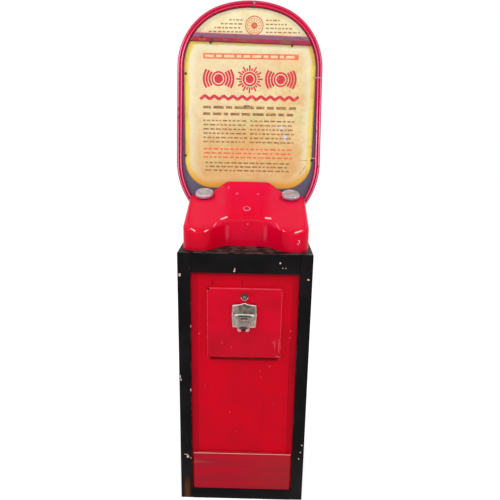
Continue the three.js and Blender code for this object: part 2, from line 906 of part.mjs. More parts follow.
// The outline moved inwards by inset, as a closed ring of points with arcs at its corners
function castingRing(inset) {
  const half = castingCorners.map(([x, y, r, bulge]) => ({ x, y: front + y, r, bulge }));
  const all = [...half, ...half.map((c) => ({ ...c, x: -c.x })).reverse()];
  const count = all.length;
  const points = [];
  const start = all.map((corner, i) => {
    const before = all[(i + count - 1) % count];
    const after = all[(i + 1) % count];
    const a = new THREE.Vector2(corner.x - before.x, corner.y - before.y).normalize();
    const b = new THREE.Vector2(after.x - corner.x, after.y - corner.y).normalize();
    const turn = Math.acos(THREE.MathUtils.clamp(a.dot(b), -1, 1));
    const normalA = new THREE.Vector2(-a.y, a.x);
    const normalB = new THREE.Vector2(-b.y, b.x);
    const shift = normalA.clone().add(normalB).multiplyScalar(inset / (1 + normalA.dot(normalB)));
    const centre = new THREE.Vector2(corner.x, corner.y).add(shift);
    const radius = Math.max(corner.r - corner.bulge * inset, 1);
    const tangent = radius * Math.tan(turn / 2);
    return { centre, a, b, tangent, radius, turn, bulge: corner.bulge };
  });
  start.forEach((corner, i) => {
    const { centre, a, b, tangent, radius, turn, bulge } = corner;
    const entry = centre.clone().addScaledVector(a, -tangent);
    const side = new THREE.Vector2(-a.y, a.x).multiplyScalar(bulge);
    const hub = entry.clone().addScaledVector(side, radius);
    for (let k = 0; k <= castingCornerSteps; k++) {
      const angle = (turn * k) / castingCornerSteps;
      const arm = side.clone().multiplyScalar(-Math.cos(angle)).addScaledVector(a, Math.sin(angle));
      points.push(hub.clone().addScaledVector(arm, radius));
    }
    const next = start[(i + 1) % count];
    const exit = centre.clone().addScaledVector(b, tangent);
    const goal = next.centre.clone().addScaledVector(next.a, -next.tangent);
    const pieces = castingStraights[i];
    for (let k = 1; k < pieces; k++) points.push(exit.clone().lerp(goal, k / pieces));
  });
  return points;
}

// Height of the casting's skin above the cabinet's top
function castingHeight(x, y) {
  const depth = y - front;
  const palm = palmFrontHeight + palmSlope * (depth - palmFrontDepth);
  const rise = Math.max(humpFrontRise + humpRiseRate * (depth - castingRecess), 0);
  const along = THREE.MathUtils.clamp((depth - castingRecess) / (humpRearDepth - castingRecess), 0, 1.1);
  const topHalf = THREE.MathUtils.lerp(humpTopFront, humpTopRear, along);
  const footHalf = THREE.MathUtils.lerp(humpFootFront, humpFootRear, along);
  return palm + rise * (1 - THREE.MathUtils.smoothstep(Math.abs(x), topHalf, footHalf));
}

// Rings from the middle of the skin out over the rounded edge and down to the rim
function castingSkin(inset, drop, edge, baseZ, shares, edgeSteps) {
  const rings = [];
  const centre = new THREE.Vector2(0, front + castingBack - castingMiddleFromBack);
  const inner = castingRing(inset + edge);
  const lift = (p, down) =>
    new THREE.Vector3(p.x, p.y, cabinetHeight + castingHeight(p.x, p.y) - drop - down);
  for (const share of shares) {
    rings.push(inner.map((p) => lift(centre.clone().lerp(p, share), 0)));
  }
  for (let k = 0; k <= edgeSteps; k++) {
    const angle = (k / edgeSteps) * (Math.PI / 2);
    const ring = castingRing(inset + edge * (1 - Math.sin(angle)));
    rings.push(ring.map((p) => lift(p, edge * (1 - Math.cos(angle)))));
  }
  rings.push(castingRing(inset).map((p) => new THREE.Vector3(p.x, p.y, baseZ)));
  return { rings, pole: lift(centre, 0) };
}

function castingShell() {
  const base = cabinetHeight + seat;
  const edge = castingEdgeRadius;
  const innerEdge = edge - castingWall;
  const outer = castingSkin(0, 0, edge, base, outerSkinShares, outerEdgeSteps);
  const inner = castingSkin(castingWall, castingDrop, innerEdge, base, innerSkinShares, innerEdgeSteps);
  const rings = [...outer.rings, ...inner.rings.reverse()];
  const count = rings[0].length;
  const positions = [];
  const triangle = (a, b, c) => positions.push(...a.toArray(), ...b.toArray(), ...c.toArray());
  for (let k = 0; k < count; k++) {
    const n = (k + 1) % count;
    triangle(outer.pole, rings[0][k], rings[0][n]);
    for (let j = 0; j + 1 < rings.length; j++) {
      triangle(rings[j][k], rings[j + 1][k], rings[j + 1][n]);
      triangle(rings[j][k], rings[j + 1][n], rings[j][n]);
    }
    const last = rings[rings.length - 1];
    triangle(inner.pole, last[n], last[k]);
  }
  const geometry = new THREE.BufferGeometry();
  geometry.setAttribute("position", new THREE.Float32BufferAttribute(positions, 3));
  return mergeVertices(geometry, 1e-4);
}

// A group standing square on the casting's skin at a point, with its own +Z along the skin's normal
function skinGroup(x, depth) {
  const y = front + depth;
  const step = 1;
  const slope = (castingHeight(x, y + step) - castingHeight(x, y - step)) / (2 * step);
  const group = new THREE.Group();
  group.position.set(x, y, cabinetHeight + castingHeight(x, y));
  group.rotation.x = Math.atan(slope);
  machine.add(group);
  group.updateMatrixWorld(true);
  return group;
}

const knobGroups = [
  ["left", skinGroup(-knobSpacing / 2, knobDepth)],
  ["right", skinGroup(knobSpacing / 2, knobDepth)],
];
const screwGroup = skinGroup(0, screwDepth);

function buildConsole() {
  const drill = (group, radius) =>
    bar(radius, castingWall * 8, "z", 0, 0, 0, 28).applyMatrix4(group.matrixWorld);
  const holes = knobGroups.map(([, group]) => drill(group, grommetHoleRadius));
  holes.push(drill(screwGroup, screwShank + seat));
  place("console_casting", cut(castingShell(), ...holes), redEnamel);

  const washer = [
    [screwShank + seat, seat],
    [washerRadius, seat],
    [washerRadius - washerCrown / 3, washerRimHeight],
    [washerRadius - washerCrown, washerHeight],
    [washerSeatRadius, washerSeatHeight],
    [screwShank + seat, washerSeatHeight],
    [screwShank + seat, seat],
  ];
  const lathe = (points, segments) =>
    new THREE.LatheGeometry(points.map(([r, z]) => new THREE.Vector2(r, z)), segments)
      .rotateX(Math.PI / 2);
  place("console_cup_washer", lathe(washer, 28), redEnamel, screwGroup);
  const headUnderside = washerSeatHeight + seat;
  const screw = [
    [0, -screwLength],
    [screwShank, -screwLength + screwPoint],
    [screwShank, headUnderside],
    [screwHeadRadius, headUnderside],
    [screwHeadRadius, screwHeadRim],
    [0, screwHeadHeight],
  ];
  place("console_screw", lathe(screw, 20), oldNickel, screwGroup);
  buildConsoleBlock();

  for (const [side, group] of knobGroups) {
    const ring = [
      [grommetInnerRadius, -castingWall],
      [grommetHoleRadius - seat, -castingWall],
      [grommetHoleRadius - seat, 2 * seat],
      [grommetFlangeRadius, 2 * seat],
      [grommetFlangeRadius, grommetFlangeTop],
      [grommetInnerRadius, grommetFlangeTop],
      [grommetInnerRadius, -castingWall],
    ];
    place(`${side}_grommet`, lathe(ring, 28), rubber, group);
  }
}

// A wooden block on the cabinet's top that the console's front screw bites into
function buildConsoleBlock() {
  const y0 = front + castingRecess + castingWall + blockGap;
  const y1 = motorMiddleY - motorRadius - blockToMotor;
  const slopeStart = y1 - blockSlopeLength;
  const base = cabinetHeight + seat;
  const under = (y) => cabinetHeight + castingHeight(0, y) - castingDrop - blockTopGap;
  const wedge = polygon([
    [y0, base],
    [y1, base],
    [y1, base + blockRearHeight],
    [slopeStart, under(slopeStart)],
    [y0, under(y0)],
  ]);
  const hole = bar(screwShank + seat, 2 * (screwLength + jointOverlap), "z", 0, 0, 0, 20);
  const half = blockWidth / 2;
  place(
    "console_block",
    cut(sideBar(wedge, -half, half), hole.applyMatrix4(screwGroup.matrixWorld)),
    rawWood,
  );
}

// Knobs and their bent stems, which stand on the cradle and pass through the grommets
const mechanismTop = cabinetHeight + seat + plateThickness;
const cradleBottom = mechanismTop + seat + springHeight + seat;
const cradleTop = cradleBottom + plateThickness;

class StemPath extends THREE.Curve {
  constructor(top, tilt, straight, radius, bottomZ) {
    super();
    this.top = top;
    this.tilt = tilt;
    this.straight = straight;
    this.radius = radius;
    this.bendLength = radius * tilt;
    const bendTop = this.alongTop(straight);
    this.bendTop = bendTop;
    this.legY = bendTop.y + radius * (1 - Math.cos(tilt));
    this.legTop = bendTop.z - radius * Math.sin(tilt);
    this.length = straight + this.bendLength + (this.legTop - bottomZ);
  }
  alongTop(distance) {
    return new THREE.Vector3(
      this.top.x,
      this.top.y + distance * Math.sin(this.tilt),
      this.top.z - distance * Math.cos(this.tilt),
    );
  }
  getPoint(t, target = new THREE.Vector3()) {
    const distance = t * this.length;
    if (distance <= this.straight) return target.copy(this.alongTop(distance));
    if (distance <= this.straight + this.bendLength) {
      const left = this.tilt - (distance - this.straight) / this.radius;
      const y = this.legY - this.radius * (1 - Math.cos(left));
      const z = this.legTop + this.radius * Math.sin(left);
      return target.set(this.top.x, y, z);
    }
    const down = distance - this.straight - this.bendLength;
    return target.set(this.top.x, this.legY, this.legTop - down);
  }
}

function circle(radius, segments) {
  const points = [];
  for (let i = 0; i < segments; i++) {
    const angle = (i / segments) * Math.PI * 2;
    points.push([radius * Math.cos(angle), radius * Math.sin(angle)]);
  }
  return polygon(points);
}

function buildKnobs() {
  for (const [side, group] of knobGroups) {
    const under = knobLift;
    const over = knobLift + knobThickness;
    const hole = stemRadius + seat;
    const profile = [
      [0, under + knobSocketDepth + seat],
      [hole, under + knobSocketDepth + seat],
      [hole, under],
      [knobRadius - knobBevel, under],
      [knobRadius, under + knobBevel],
      [knobRadius, over - knobBevel],
      [knobRadius - knobRimInset, over - knobRimDrop],
      [knobRadius - knobCrownInset, over],
      [knobRadius - knobDishInset, over - knobDishDepth],
      [0, over - knobMiddleDrop],
    ];
    const knob = new THREE.LatheGeometry(
      profile.map(([r, z]) => new THREE.Vector2(r, z)),
      40,
    ).rotateX(Math.PI / 2);
    place(`${side}_knob`, knob, nickel, group);

    const stemTop = under + knobSocketDepth;
    const top = new THREE.Vector3(0, 0, stemTop).applyMatrix4(group.matrixWorld);
    const straight = stemTop + castingWall + stemBelowSkin;
    const path = new StemPath(top, group.rotation.x, straight, stemBendRadius, cradleTop + seat);
    const rod = new THREE.ExtrudeGeometry(circle(stemRadius, stemSides), {
      steps: stemSteps,
      bevelEnabled: false,
      extrudePath: path,
    });
    const footZ = cradleTop + seat + stemFootThickness / 2;
    const foot = bar(stemFootRadius, stemFootThickness, "z", top.x, path.legY, footZ, 24);
    place(`${side}_stem`, join(rod, foot), steel);
  }
}

// Mechanism plate, cradle on four coil springs, and the motor with its off-centre weights
class HelixPath extends THREE.Curve {
  constructor(x, y, z0, radius, height, turns) {
    super();
    Object.assign(this, { x, y, z0, radius, height, turns });
  }
  getPoint(t, target = new THREE.Vector3()) {
    const angle = t * this.turns * Math.PI * 2;
    return target.set(
      this.x + this.radius * Math.cos(angle),
      this.y + this.radius * Math.sin(angle),
      this.z0 + this.height * t,
    );
  }
}

function buildCradle() {
  const y0 = front + mechanismFront;
  const y1 = y0 + mechanismDepth;
  const half = mechanismHalfWidth;
  place(
    "mechanism_plate",
    block(-half, half, y0, y1, cabinetHeight + seat, mechanismTop),
    steel,
  );
  const cradleHalf = half - cradleSideInset;
  place("cradle_plate", block(-cradleHalf, cradleHalf, y0, y1, cradleBottom, cradleTop), steel);
  const springSide = knobSpacing / 2 - springInsideKnob;
  let number = 0;
  for (const x of [-springSide, springSide]) {
    for (const y of [y0 + springInset, y1 - springInset]) {
      number += 1;
      const low = mechanismTop + seat + springWire / 2;
      const path = new HelixPath(x, y, low, springRadius, springHeight - springWire, springTurns);
      const coil = new THREE.ExtrudeGeometry(circle(springWire / 2, springSides), {
        steps: springTurns * springStepsPerTurn,
        bevelEnabled: false,
        extrudePath: path,
      });
      place(`cradle_spring_${number}`, coil, steel);
    }
  }
  buildMotor();
}

function buildMotor() {
  const axisZ = cradleTop + seat + motorFootHeight + motorRadius;
  const along = (r, x0, x1, segments = 32) =>
    bar(r, x1 - x0, "x", (x0 + x1) / 2, motorMiddleY, axisZ, segments);
  const half = motorLength / 2;
  const feet = block(
    -half + motorFootEndInset,
    half - motorFootEndInset,
    motorMiddleY - motorFootHalfWidth,
    motorMiddleY + motorFootHalfWidth,
    cradleTop + seat,
    axisZ - motorFootBelowAxis,
  );
  const bearingEnd = half + bearingLength;
  const shell = join(
    along(motorRadius, -half, half),
    along(bearingRadius, -bearingEnd, bearingEnd),
    feet,
  );
  const weightInside = bearingEnd + eccentricGap;
  const shaftEnd = weightInside + eccentricThickness + shaftBeyondWeight;
  const bore = along(motorShaftRadius + running, -shaftEnd - cutOver, shaftEnd + cutOver, 20);
  place("motor_case", cut(shell, bore), motorPaint);
  place("motor_shaft", along(motorShaftRadius, -shaftEnd, shaftEnd, 20), steel);
  for (const [side, sign] of [
    ["left", -1],
    ["right", 1],
  ]) {
    const outline = new THREE.Shape();
    outline.absarc(motorMiddleY, axisZ, eccentricRadius, Math.PI, Math.PI * 2);
    const x0 = sign > 0 ? weightInside : -weightInside - eccentricThickness;
    const weight = sideBar(outline, x0, x0 + eccentricThickness, 18);
    const hub = along(motorShaftRadius + eccentricHubWall, x0, x0 + eccentricThickness, 24);
    place(`${side}_eccentric`, cut(join(weight, hub), bore), brass);
  }
}

// Sign: a round bottom, straight sides that lean in a little, a shoulder arc at each side and a flatter
// arc, the crown, over the top. Heights are counted from the cabinet's top.
const lowerCentre = signLowerRadius + seat;
const shoulderCentre = signHalfWidth - signShoulderRadius;
const crownAboveShoulders = signHeight - signShoulderHeight;
const crownRadius =
  (shoulderCentre ** 2 + crownAboveShoulders ** 2 - signShoulderRadius ** 2)
  / (2 * (crownAboveShoulders - signShoulderRadius));
const crownCentre = signHeight - crownRadius;
const crownTurn = Math.atan2(signShoulderHeight - crownCentre, shoulderCentre);
const centresApart = Math.hypot(shoulderCentre, signShoulderHeight - lowerCentre);
const sideLean =
  Math.atan2(signShoulderHeight - lowerCentre, shoulderCentre)
  - Math.acos((signLowerRadius - signShoulderRadius) / centresApart);

// Draws the sides and the top of the outline, moved inwards by inset, from left to right
function drawArch(path, inset) {
  const shoulder = signShoulderRadius - inset;
  const zShoulder = cabinetHeight + signShoulderHeight;
  const zCrown = cabinetHeight + crownCentre;
  path.absarc(-shoulderCentre, zShoulder, shoulder, Math.PI - sideLean, Math.PI - crownTurn, true);
  path.absarc(0, zCrown, crownRadius - inset, Math.PI - crownTurn, crownTurn, true);
  path.absarc(shoulderCentre, zShoulder, shoulder, crownTurn, sideLean, true);
}

// The whole outline, from the bottom up the left side and round, open by the joint at the bottom
function drawSignOutline(path, inset, jointHalf) {
  const lower = signLowerRadius - inset;
  const zLower = cabinetHeight + lowerCentre;
  const start = Math.asin(jointHalf / lower);
  path.absarc(0, zLower, lower, -Math.PI / 2 - start, Math.PI - sideLean, true);
  drawArch(path, inset);
  path.absarc(0, zLower, lower, sideLean, -Math.PI / 2 + start, true);
  return path;
}

// Half the width between the outline's two sides, moved inwards by inset, at a height in its arch
function archHalfWidth(height, inset) {
  const shoulder = signShoulderRadius - inset;
  if (height > signShoulderHeight + shoulder * Math.sin(crownTurn)) {
    return Math.sqrt((crownRadius - inset) ** 2 - (height - crownCentre) ** 2);
  }
  return shoulderCentre + Math.sqrt(shoulder ** 2 - (height - signShoulderHeight) ** 2);
}

// The rail's middle line, from its butt joint at the bottom up the left side and round
class RailPath extends THREE.Curve {
  constructor() {
    super();
    this.outline = drawSignOutline(new THREE.Path(), railWidth / 2, railJointHalf);
  }
  getPoint(t, target = new THREE.Vector3()) {
    const { x, y: z } = this.outline.getPoint(t);
    return target.set(x, signMiddle, z);
  }
}

function buildSign() {
  const half = railWidth / 2;
  const deep = railDepth / 2;
  const slotFront = -railSlotBehindMiddle;
  const slotRear = slotFront - railSlot;
  const slotEnd = half - railSlotDepth;
  const profile = polygon([
    [-deep, -half],
    [deep - railShoulder, -half],
    [deep - railEdgeRound, -half + railEdgeRound],
    [deep, -half + railShoulder],
    [deep - railLipDrop, -railGrooveHalf],
    [deep - railGroove, 0],
    [deep - railLipDrop, railGrooveHalf],
    [deep, half - railShoulder],
    [deep - railEdgeRound, half - railEdgeRound],
    [deep - railShoulder, half],
    [slotFront, half],
    [slotFront, slotEnd],
    [slotRear, slotEnd],
    [slotRear, half],
    [-deep, half],
  ]);
  const rail = new THREE.ExtrudeGeometry(profile, {
    steps: railSteps,
    bevelEnabled: false,
    extrudePath: new RailPath(),
  });
  place("sign_frame", rail, signRed);

  const sheetBack = sheetFront + sheetThickness;
  const sheetInset = railWidth - railSlotDepth + sheetEdgePlay;
  const sheet = drawSignOutline(new THREE.Shape(), sheetInset, 0);
  place("sign_back_sheet", plate(sheet, sheetFront, sheetBack, 26), greySheet);
  buildPrints();
  buildStraps(sheetBack + seat);
}

// The two printed panels and the bar that crosses between them
function buildPrints() {
  const printBack = sheetFront - seat;
  const printFront = printBack - printThickness;
  const half = signHalfWidth - printInset;
  const r = printCornerRadius;
  const low = cabinetHeight + printBottom;
  const barMiddle = crossbarBottom + crossbarHeight / 2;
  const seam = cabinetHeight + barMiddle;
  const printed = new THREE.Shape();
  printed.absarc(-half + r, low + r, r, Math.PI * 1.5, Math.PI, true);
  drawArch(printed, printInset);
  printed.absarc(half - r, low + r, r, 0, -Math.PI / 2, true);
  const both = plate(printed, printFront, printBack, 24);
  const cutter = (z0, z1) =>
    block(-half - cutOver, half + cutOver, printFront - cutOver, printBack + cutOver, z0, z1);
  const above = cutter(seam - printSeamHalf, cabinetHeight + signHeight);
  const below = cutter(low - cutOver, seam + printSeamHalf);
  place("sign_main_panel", cut(both, above), tanPrint);
  place("sign_header_panel", cut(both, below), creamPrint);

  const barBack = printFront - seat;
  const barInset = railWidth + crossbarEndGap;
  const rise = crossbarHeight / 2;
  const tiltRise = archHalfWidth(barMiddle, barInset) * Math.sin(crossbarTilt);
  const corner = (side, up) => {
    const height = barMiddle + up * rise - side * tiltRise;
    return [side * archHalfWidth(height, barInset), up * rise];
  };
  const outline = polygon([corner(-1, -1), corner(1, -1), corner(1, 1), corner(-1, 1)]);
  const crossbar = place("sign_crossbar", plate(outline, barBack - crossbarThickness, barBack), signRed);
  crossbar.position.z = cabinetHeight + barMiddle;
  crossbar.rotation.y = crossbarTilt;
}

// Two bent flat straps behind the sign, with feet on the cabinet's top
function buildStraps(againstSheet) {
  const behindRail = signFront + railDepth + seat;
  const base = cabinetHeight + seat;
  const t = strapThickness;
  const bendStart = base + strapStraight - strapBendOffset;
  const bendEnd = bendStart + strapBendRise;
  const outline = polygon([
    [behindRail, base],
    [behindRail + strapFoot, base],
    [behindRail + strapFoot, base + t],
    [behindRail + t, base + t],
    [behindRail + t, bendStart + strapBendOffset],
    [againstSheet + t, bendEnd + strapBendOffset],
    [againstSheet + t, base + strapHeight],
    [againstSheet, base + strapHeight],
    [againstSheet, bendEnd],
    [behindRail, bendStart],
  ]);
  for (const [name, x] of [
    ["left_sign_strap", -strapSpacing / 2],
    ["right_sign_strap", strapSpacing / 2],
  ]) {
    place(name, sideBar(outline, x - strapWidth / 2, x + strapWidth / 2), steel);
  }
}

buildCarcass();
buildFrontFrame();
buildBack();
buildCoinDoor();
buildCoinPlate();
buildCoinSlide();
buildCoinChannel();
buildCoinChute();
buildTimer();
buildCashBox();
buildConsole();
buildKnobs();
buildCradle();
buildSign();

export default machine;
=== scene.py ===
import math
import random

import bmesh
import bpy
from mathutils import Matrix, Vector


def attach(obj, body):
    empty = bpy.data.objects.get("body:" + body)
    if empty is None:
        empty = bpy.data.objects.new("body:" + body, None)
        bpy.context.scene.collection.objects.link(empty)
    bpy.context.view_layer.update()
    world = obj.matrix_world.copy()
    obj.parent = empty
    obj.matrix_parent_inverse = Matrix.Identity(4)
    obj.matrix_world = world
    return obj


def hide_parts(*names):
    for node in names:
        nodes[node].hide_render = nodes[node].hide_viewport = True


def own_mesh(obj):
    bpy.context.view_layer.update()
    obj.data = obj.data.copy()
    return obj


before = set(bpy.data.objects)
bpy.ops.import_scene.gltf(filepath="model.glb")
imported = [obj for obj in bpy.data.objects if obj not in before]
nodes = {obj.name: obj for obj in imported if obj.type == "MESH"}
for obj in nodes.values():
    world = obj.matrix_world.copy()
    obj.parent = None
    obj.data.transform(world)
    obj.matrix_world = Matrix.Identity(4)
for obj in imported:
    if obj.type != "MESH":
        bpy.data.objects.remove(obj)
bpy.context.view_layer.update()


# Camera: it stands a little to the right of the machine's middle, higher
# than the knobs, and looks slightly down, as the photograph was taken.
def linked(name, data):
    """A new object in the scene with the mesh, camera or lamp that it shows."""
    made = bpy.data.objects.new(name, data)
    bpy.context.collection.objects.link(made)
    return made


camera_data = bpy.data.cameras.new("camera")
camera_data.lens = 36.94
camera_data.sensor_width = 36
camera = linked("camera", camera_data)
camera.location = (0.0282, -1.62, 1.2354)
camera.rotation_euler = [math.radians(turn) for turn in (75.334, -1.002, 0.837)]
bpy.context.scene.camera = camera
bpy.context.scene.view_settings.view_transform = "Standard"

# Floor and surround: a plain pale floor that keeps the machine's shadow,
# and a white room that the camera and the shiny surfaces see.
ambient_light, floor_lift = 0.55, 0.5
floor_half, floor_gap = 9, 0.0005


def seen_directly(tree):
    """1 for the rays that show the surround itself: camera, glossy and transmission."""
    path = tree.nodes.new("ShaderNodeLightPath")
    value = path.outputs["Is Camera Ray"]
    for name in ("Is Glossy Ray", "Is Transmission Ray"):
        larger = tree.nodes.new("ShaderNodeMath")
        larger.operation = "MAXIMUM"
        tree.links.new(value, larger.inputs[0])
        tree.links.new(path.outputs[name], larger.inputs[1])
        value = larger.outputs[0]
    return value


def between(tree, value, low, high):
    """low where value is 0 and high where it is 1."""
    change = tree.nodes.new("ShaderNodeMapRange")
    tree.links.new(value, change.inputs["Value"])
    change.inputs["To Min"].default_value = low
    change.inputs["To Max"].default_value = high
    return change.outputs[0]


def mesh_of(shape, name):
    """The shape as a mesh; the shape itself is used up."""
    mesh = bpy.data.meshes.new(name)
    shape.to_mesh(mesh)
    shape.free()
    return mesh


world = bpy.data.worlds.new("surround")
world.use_nodes = True
surround = world.node_tree.nodes["Background"]
surround.inputs["Color"].default_value = (1, 1, 1, 1)
lit = between(world.node_tree, seen_directly(world.node_tree), ambient_light, 1)
world.node_tree.links.new(lit, surround.inputs["Strength"])
bpy.context.scene.world = world

floor_shape = bmesh.new()
bmesh.ops.create_grid(floor_shape, x_segments=1, y_segments=1, size=floor_half)
bmesh.ops.translate(floor_shape, verts=floor_shape.verts, vec=(0, 0, -floor_gap))
floor_mesh = mesh_of(floor_shape, "floor")
floor_paint = bpy.data.materials.new("floor_white")
floor_paint.use_nodes = True
floor_shader = floor_paint.node_tree.nodes["Principled BSDF"]
floor_shader.inputs["Base Color"].default_value = (0.93, 0.93, 0.93, 1)
floor_shader.inputs["Roughness"].default_value = 0.9
floor_shader.inputs["Emission Color"].default_value = (1, 1, 1, 1)
glow = between(floor_paint.node_tree, seen_directly(floor_paint.node_tree), 0, floor_lift)
floor_paint.node_tree.links.new(glow, floor_shader.inputs["Emission Strength"])
floor_mesh.materials.append(floor_paint)
linked("floor", floor_mesh)


# Lamps: a small box high on each side, which models the casting's lobes and
# the knobs, and a large soft one behind the camera.
def soft_box(name, stand, aim, size, power):
    lamp = bpy.data.lights.new(name, "AREA")
    lamp.size = size
    lamp.energy = power
    holder = linked(name, lamp)
    holder.location = stand
    holder.rotation_euler = (Vector(aim) - Vector(stand)).to_track_quat("-Z", "Y").to_euler()


soft_box("left_box", (-1.6, -0.9, 2.5), (0, 0, 0.9), 0.2, 17)
soft_box("right_box", (1.6, -0.9, 2.5), (0, 0, 0.9), 0.2, 15)
soft_box("front_box", (0.2, -3.4, 1.9), (0, 0, 0.8), 2.4, 33)


# Cabinet boards: solid wood under brushed black enamel, with the corners
# rubbed round and chipped down to the bare wood over the years.
def srgb(red, green, blue):
    """A screen colour in steps of 0 to 255 as the linear colour that a shader reads."""
    shares = [step / 255 for step in (red, green, blue)]
    linear = [s / 12.92 if s <= 0.04045 else ((s + 0.055) / 1.055) ** 2.4 for s in shares]
    return (*linear, 1)


class Value:
    """A number or colour that changes over a finish and can be reckoned with like a plain one."""

    def __init__(self, finish, socket):
        self.finish = finish
        self.socket = socket

    def __add__(self, other):
        return self.finish.math("ADD", self, other)

    def __sub__(self, other):
        return self.finish.math("SUBTRACT", self, other)

    def __rsub__(self, other):
        return self.finish.math("SUBTRACT", other, self)

    def __mul__(self, other):
        return self.finish.math("MULTIPLY", self, other)

    def __abs__(self):
        return self.finish.math("ABSOLUTE", self)

    def at_least(self, other):
        return self.finish.math("MAXIMUM", self, other)

    def at_most(self, other):
        return self.finish.math("MINIMUM", self, other)

    def near(self, middle, reach):
        """1 within reach of the middle, otherwise 0."""
        return self.finish.math("COMPARE", self, middle, reach)

    def fade(self, low, high):
        """0 at low, 1 at high, and a smooth change between them."""
        inputs = {"Value": self, "From Min": low, "From Max": high}
        return self.finish.node("MapRange", inputs, interpolation_type="SMOOTHSTEP")

    def band(self, start, full, fading, end):
        """1 between full and fading, with a smooth change down to 0 at start and end."""
        return self.fade(start, full) * self.fade(end, fading)

    def scaled(self, low, high):
        """A 0 to 1 value spread from low to high."""
        return self.finish.node("MapRange", {"Value": self, "To Min": low, "To Max": high})


class Finish:
    """One procedural finish: its material, its slot and the nodes that feed its shader."""

    def __init__(self, name, roughness, metallic=0, shine=0.5, slot=None):
        self.material = bpy.data.materials.new(name)
        self.material.use_nodes = True
        self.slot = slot or name
        self.tree = self.material.node_tree
        self.sockets = self.tree.nodes["Principled BSDF"].inputs
        self.sockets["Roughness"].default_value = roughness
        self.sockets["Metallic"].default_value = metallic
        self.sockets["Specular IOR Level"].default_value = shine
        self.place = self.node("TexCoord", {}, "Object")

    # The place along each axis in metres, and 1 on the rounded edges of a softened piece.
    x = property(lambda self: self.node("SeparateXYZ", {0: self.place}, "X"))
    y = property(lambda self: self.node("SeparateXYZ", {0: self.place}, "Y"))
    z = property(lambda self: self.node("SeparateXYZ", {0: self.place}, "Z"))
    edge = property(lambda self: self.node("Attribute", {}, "Fac", attribute_name="edge"))

    def feed(self, socket, value):
        if isinstance(value, Value):
            self.tree.links.new(value.socket, socket)
        else:
            socket.default_value = value

    def node(self, kind, inputs, output=0, **settings):
        made = self.tree.nodes.new("ShaderNode" + kind)
        for name, value in settings.items():
            setattr(made, name, value)
        for key, value in inputs.items():
            self.feed(made.inputs[key], value)
        return Value(self, made.outputs[output])

    def math(self, operation, *values):
        return self.node("Math", dict(enumerate(values)), operation=operation)

    def vector(self, operation, *values, output=0):
        return self.node("VectorMath", dict(enumerate(values)), output, operation=operation)

    def length(self, across, up):
        """How long the way is that goes across by one value and up by the other."""
        return self.vector("LENGTH", self.node("CombineXYZ", {0: across, 1: up}), output="Value")

    def noise(self, scale, detail=3, stretch=(1, 1, 1)):
        spread = self.node("Mapping", {"Vector": self.place, "Scale": stretch})
        return self.node("TexNoise", {"Vector": spread, "Scale": scale, "Detail": detail}, "Fac")

    def blend(self, mask, under, over):
        """The colour under, with over on top where the mask is 1."""
        under, over = [srgb(*tone) if isinstance(tone, tuple) else tone for tone in (under, over)]
        return self.node("Mix", {0: mask, 6: under, 7: over}, 2, data_type="RGBA")

    def tones(self, mask, under, over):
        """Starts the finish's colour with two tones."""
        self.tone = self.blend(mask, under, over)
        self.feed(self.sockets["Base Color"], self.tone)

    def layer(self, mask, colour):
        """Lays one more colour over the tones so far."""
        self.tones(mask, self.tone, colour)

    def spots(self, marks, ragged=0.7, scale=190):
        """1 inside the marks, each a centre and its three half sizes, with ragged outlines."""
        wander = (self.noise(scale, 4) - 0.5) * (ragged * 2)
        total = 0
        for centre, reach in marks:
            share = self.vector("DIVIDE", self.vector("SUBTRACT", self.place, centre), reach)
            reached = self.vector("LENGTH", share, output="Value") + wander
            total = reached.fade(1.06, 0.94).at_least(total)
        return total

    def front_spots(self, rows, y, depth=0.006, ragged=0.7, scale=190):
        """Spots on a front at y, from rows of x, z and the half width and height in mm."""
        places = [[size / 1000 for size in row] for row in rows]
        marks = [((x, y, z), (half_width, depth, half_height)) for x, z, half_width, half_height in places]
        return self.spots(marks, ragged, scale)

    def bump(self, height, distance, strength=1):
        inputs = {"Height": height, "Distance": distance, "Strength": strength}
        self.feed(self.sockets["Normal"], self.node("Bump", inputs))

    def roughness(self, value):
        self.feed(self.sockets["Roughness"], value)


def merged_copy(node):
    """A CAD solid as one clean mesh, with its flat faces whole again."""
    shape = bmesh.new()
    shape.from_mesh(nodes[node].data)
    bmesh.ops.remove_doubles(shape, verts=shape.verts, dist=0.00002)
    bmesh.ops.dissolve_limit(
        shape, angle_limit=math.radians(0.5), verts=shape.verts, edges=shape.edges
    )
    return shape


def soften(shape, width, steps=2, crease=30):
    """Rounds the sharp edges, and marks the new faces for finishes that wear there."""
    sharp = [e for e in shape.edges if e.calc_face_angle(0) > math.radians(crease)]
    made = bmesh.ops.bevel(
        shape, geom=sharp, offset=width, segments=steps, profile=0.5,
        affect="EDGES", material=-1, clamp_overlap=True,
    )
    narrow = {face for face in made["faces"] if 2 * face.calc_area() / face.calc_perimeter() < width}
    edge = shape.loops.layers.float_color.new("edge")
    for face in shape.faces:
        for loop in face.loops:
            loop[edge] = (1, 1, 1, 1) if face in narrow else (0, 0, 0, 1)
    return shape


def smoothed(mesh):
    """Shades a mesh smooth, except over its sharp edges."""
    mesh.polygons.foreach_set("use_smooth", [True] * len(mesh.polygons))
    mesh.set_sharp_from_angle(angle=math.radians(32))
    return mesh


def finished(shape, name, finish, body, *replaced):
    """The shape as a named piece that rides on its body in its finish."""
    piece = linked(name, smoothed(mesh_of(shape, name)))
    piece.data.materials.append(finish.material)
    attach(piece, body)
    finish.slot
    if replaced:
        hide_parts(*replaced)
    return piece


def dressed(node, ending, finish, body, width, steps=2, crease=30):
    """A softened copy of a CAD solid in its finish, in that solid's place."""
    return finished(soften(merged_copy(node), width, steps, crease), node + ending, finish, body, node)


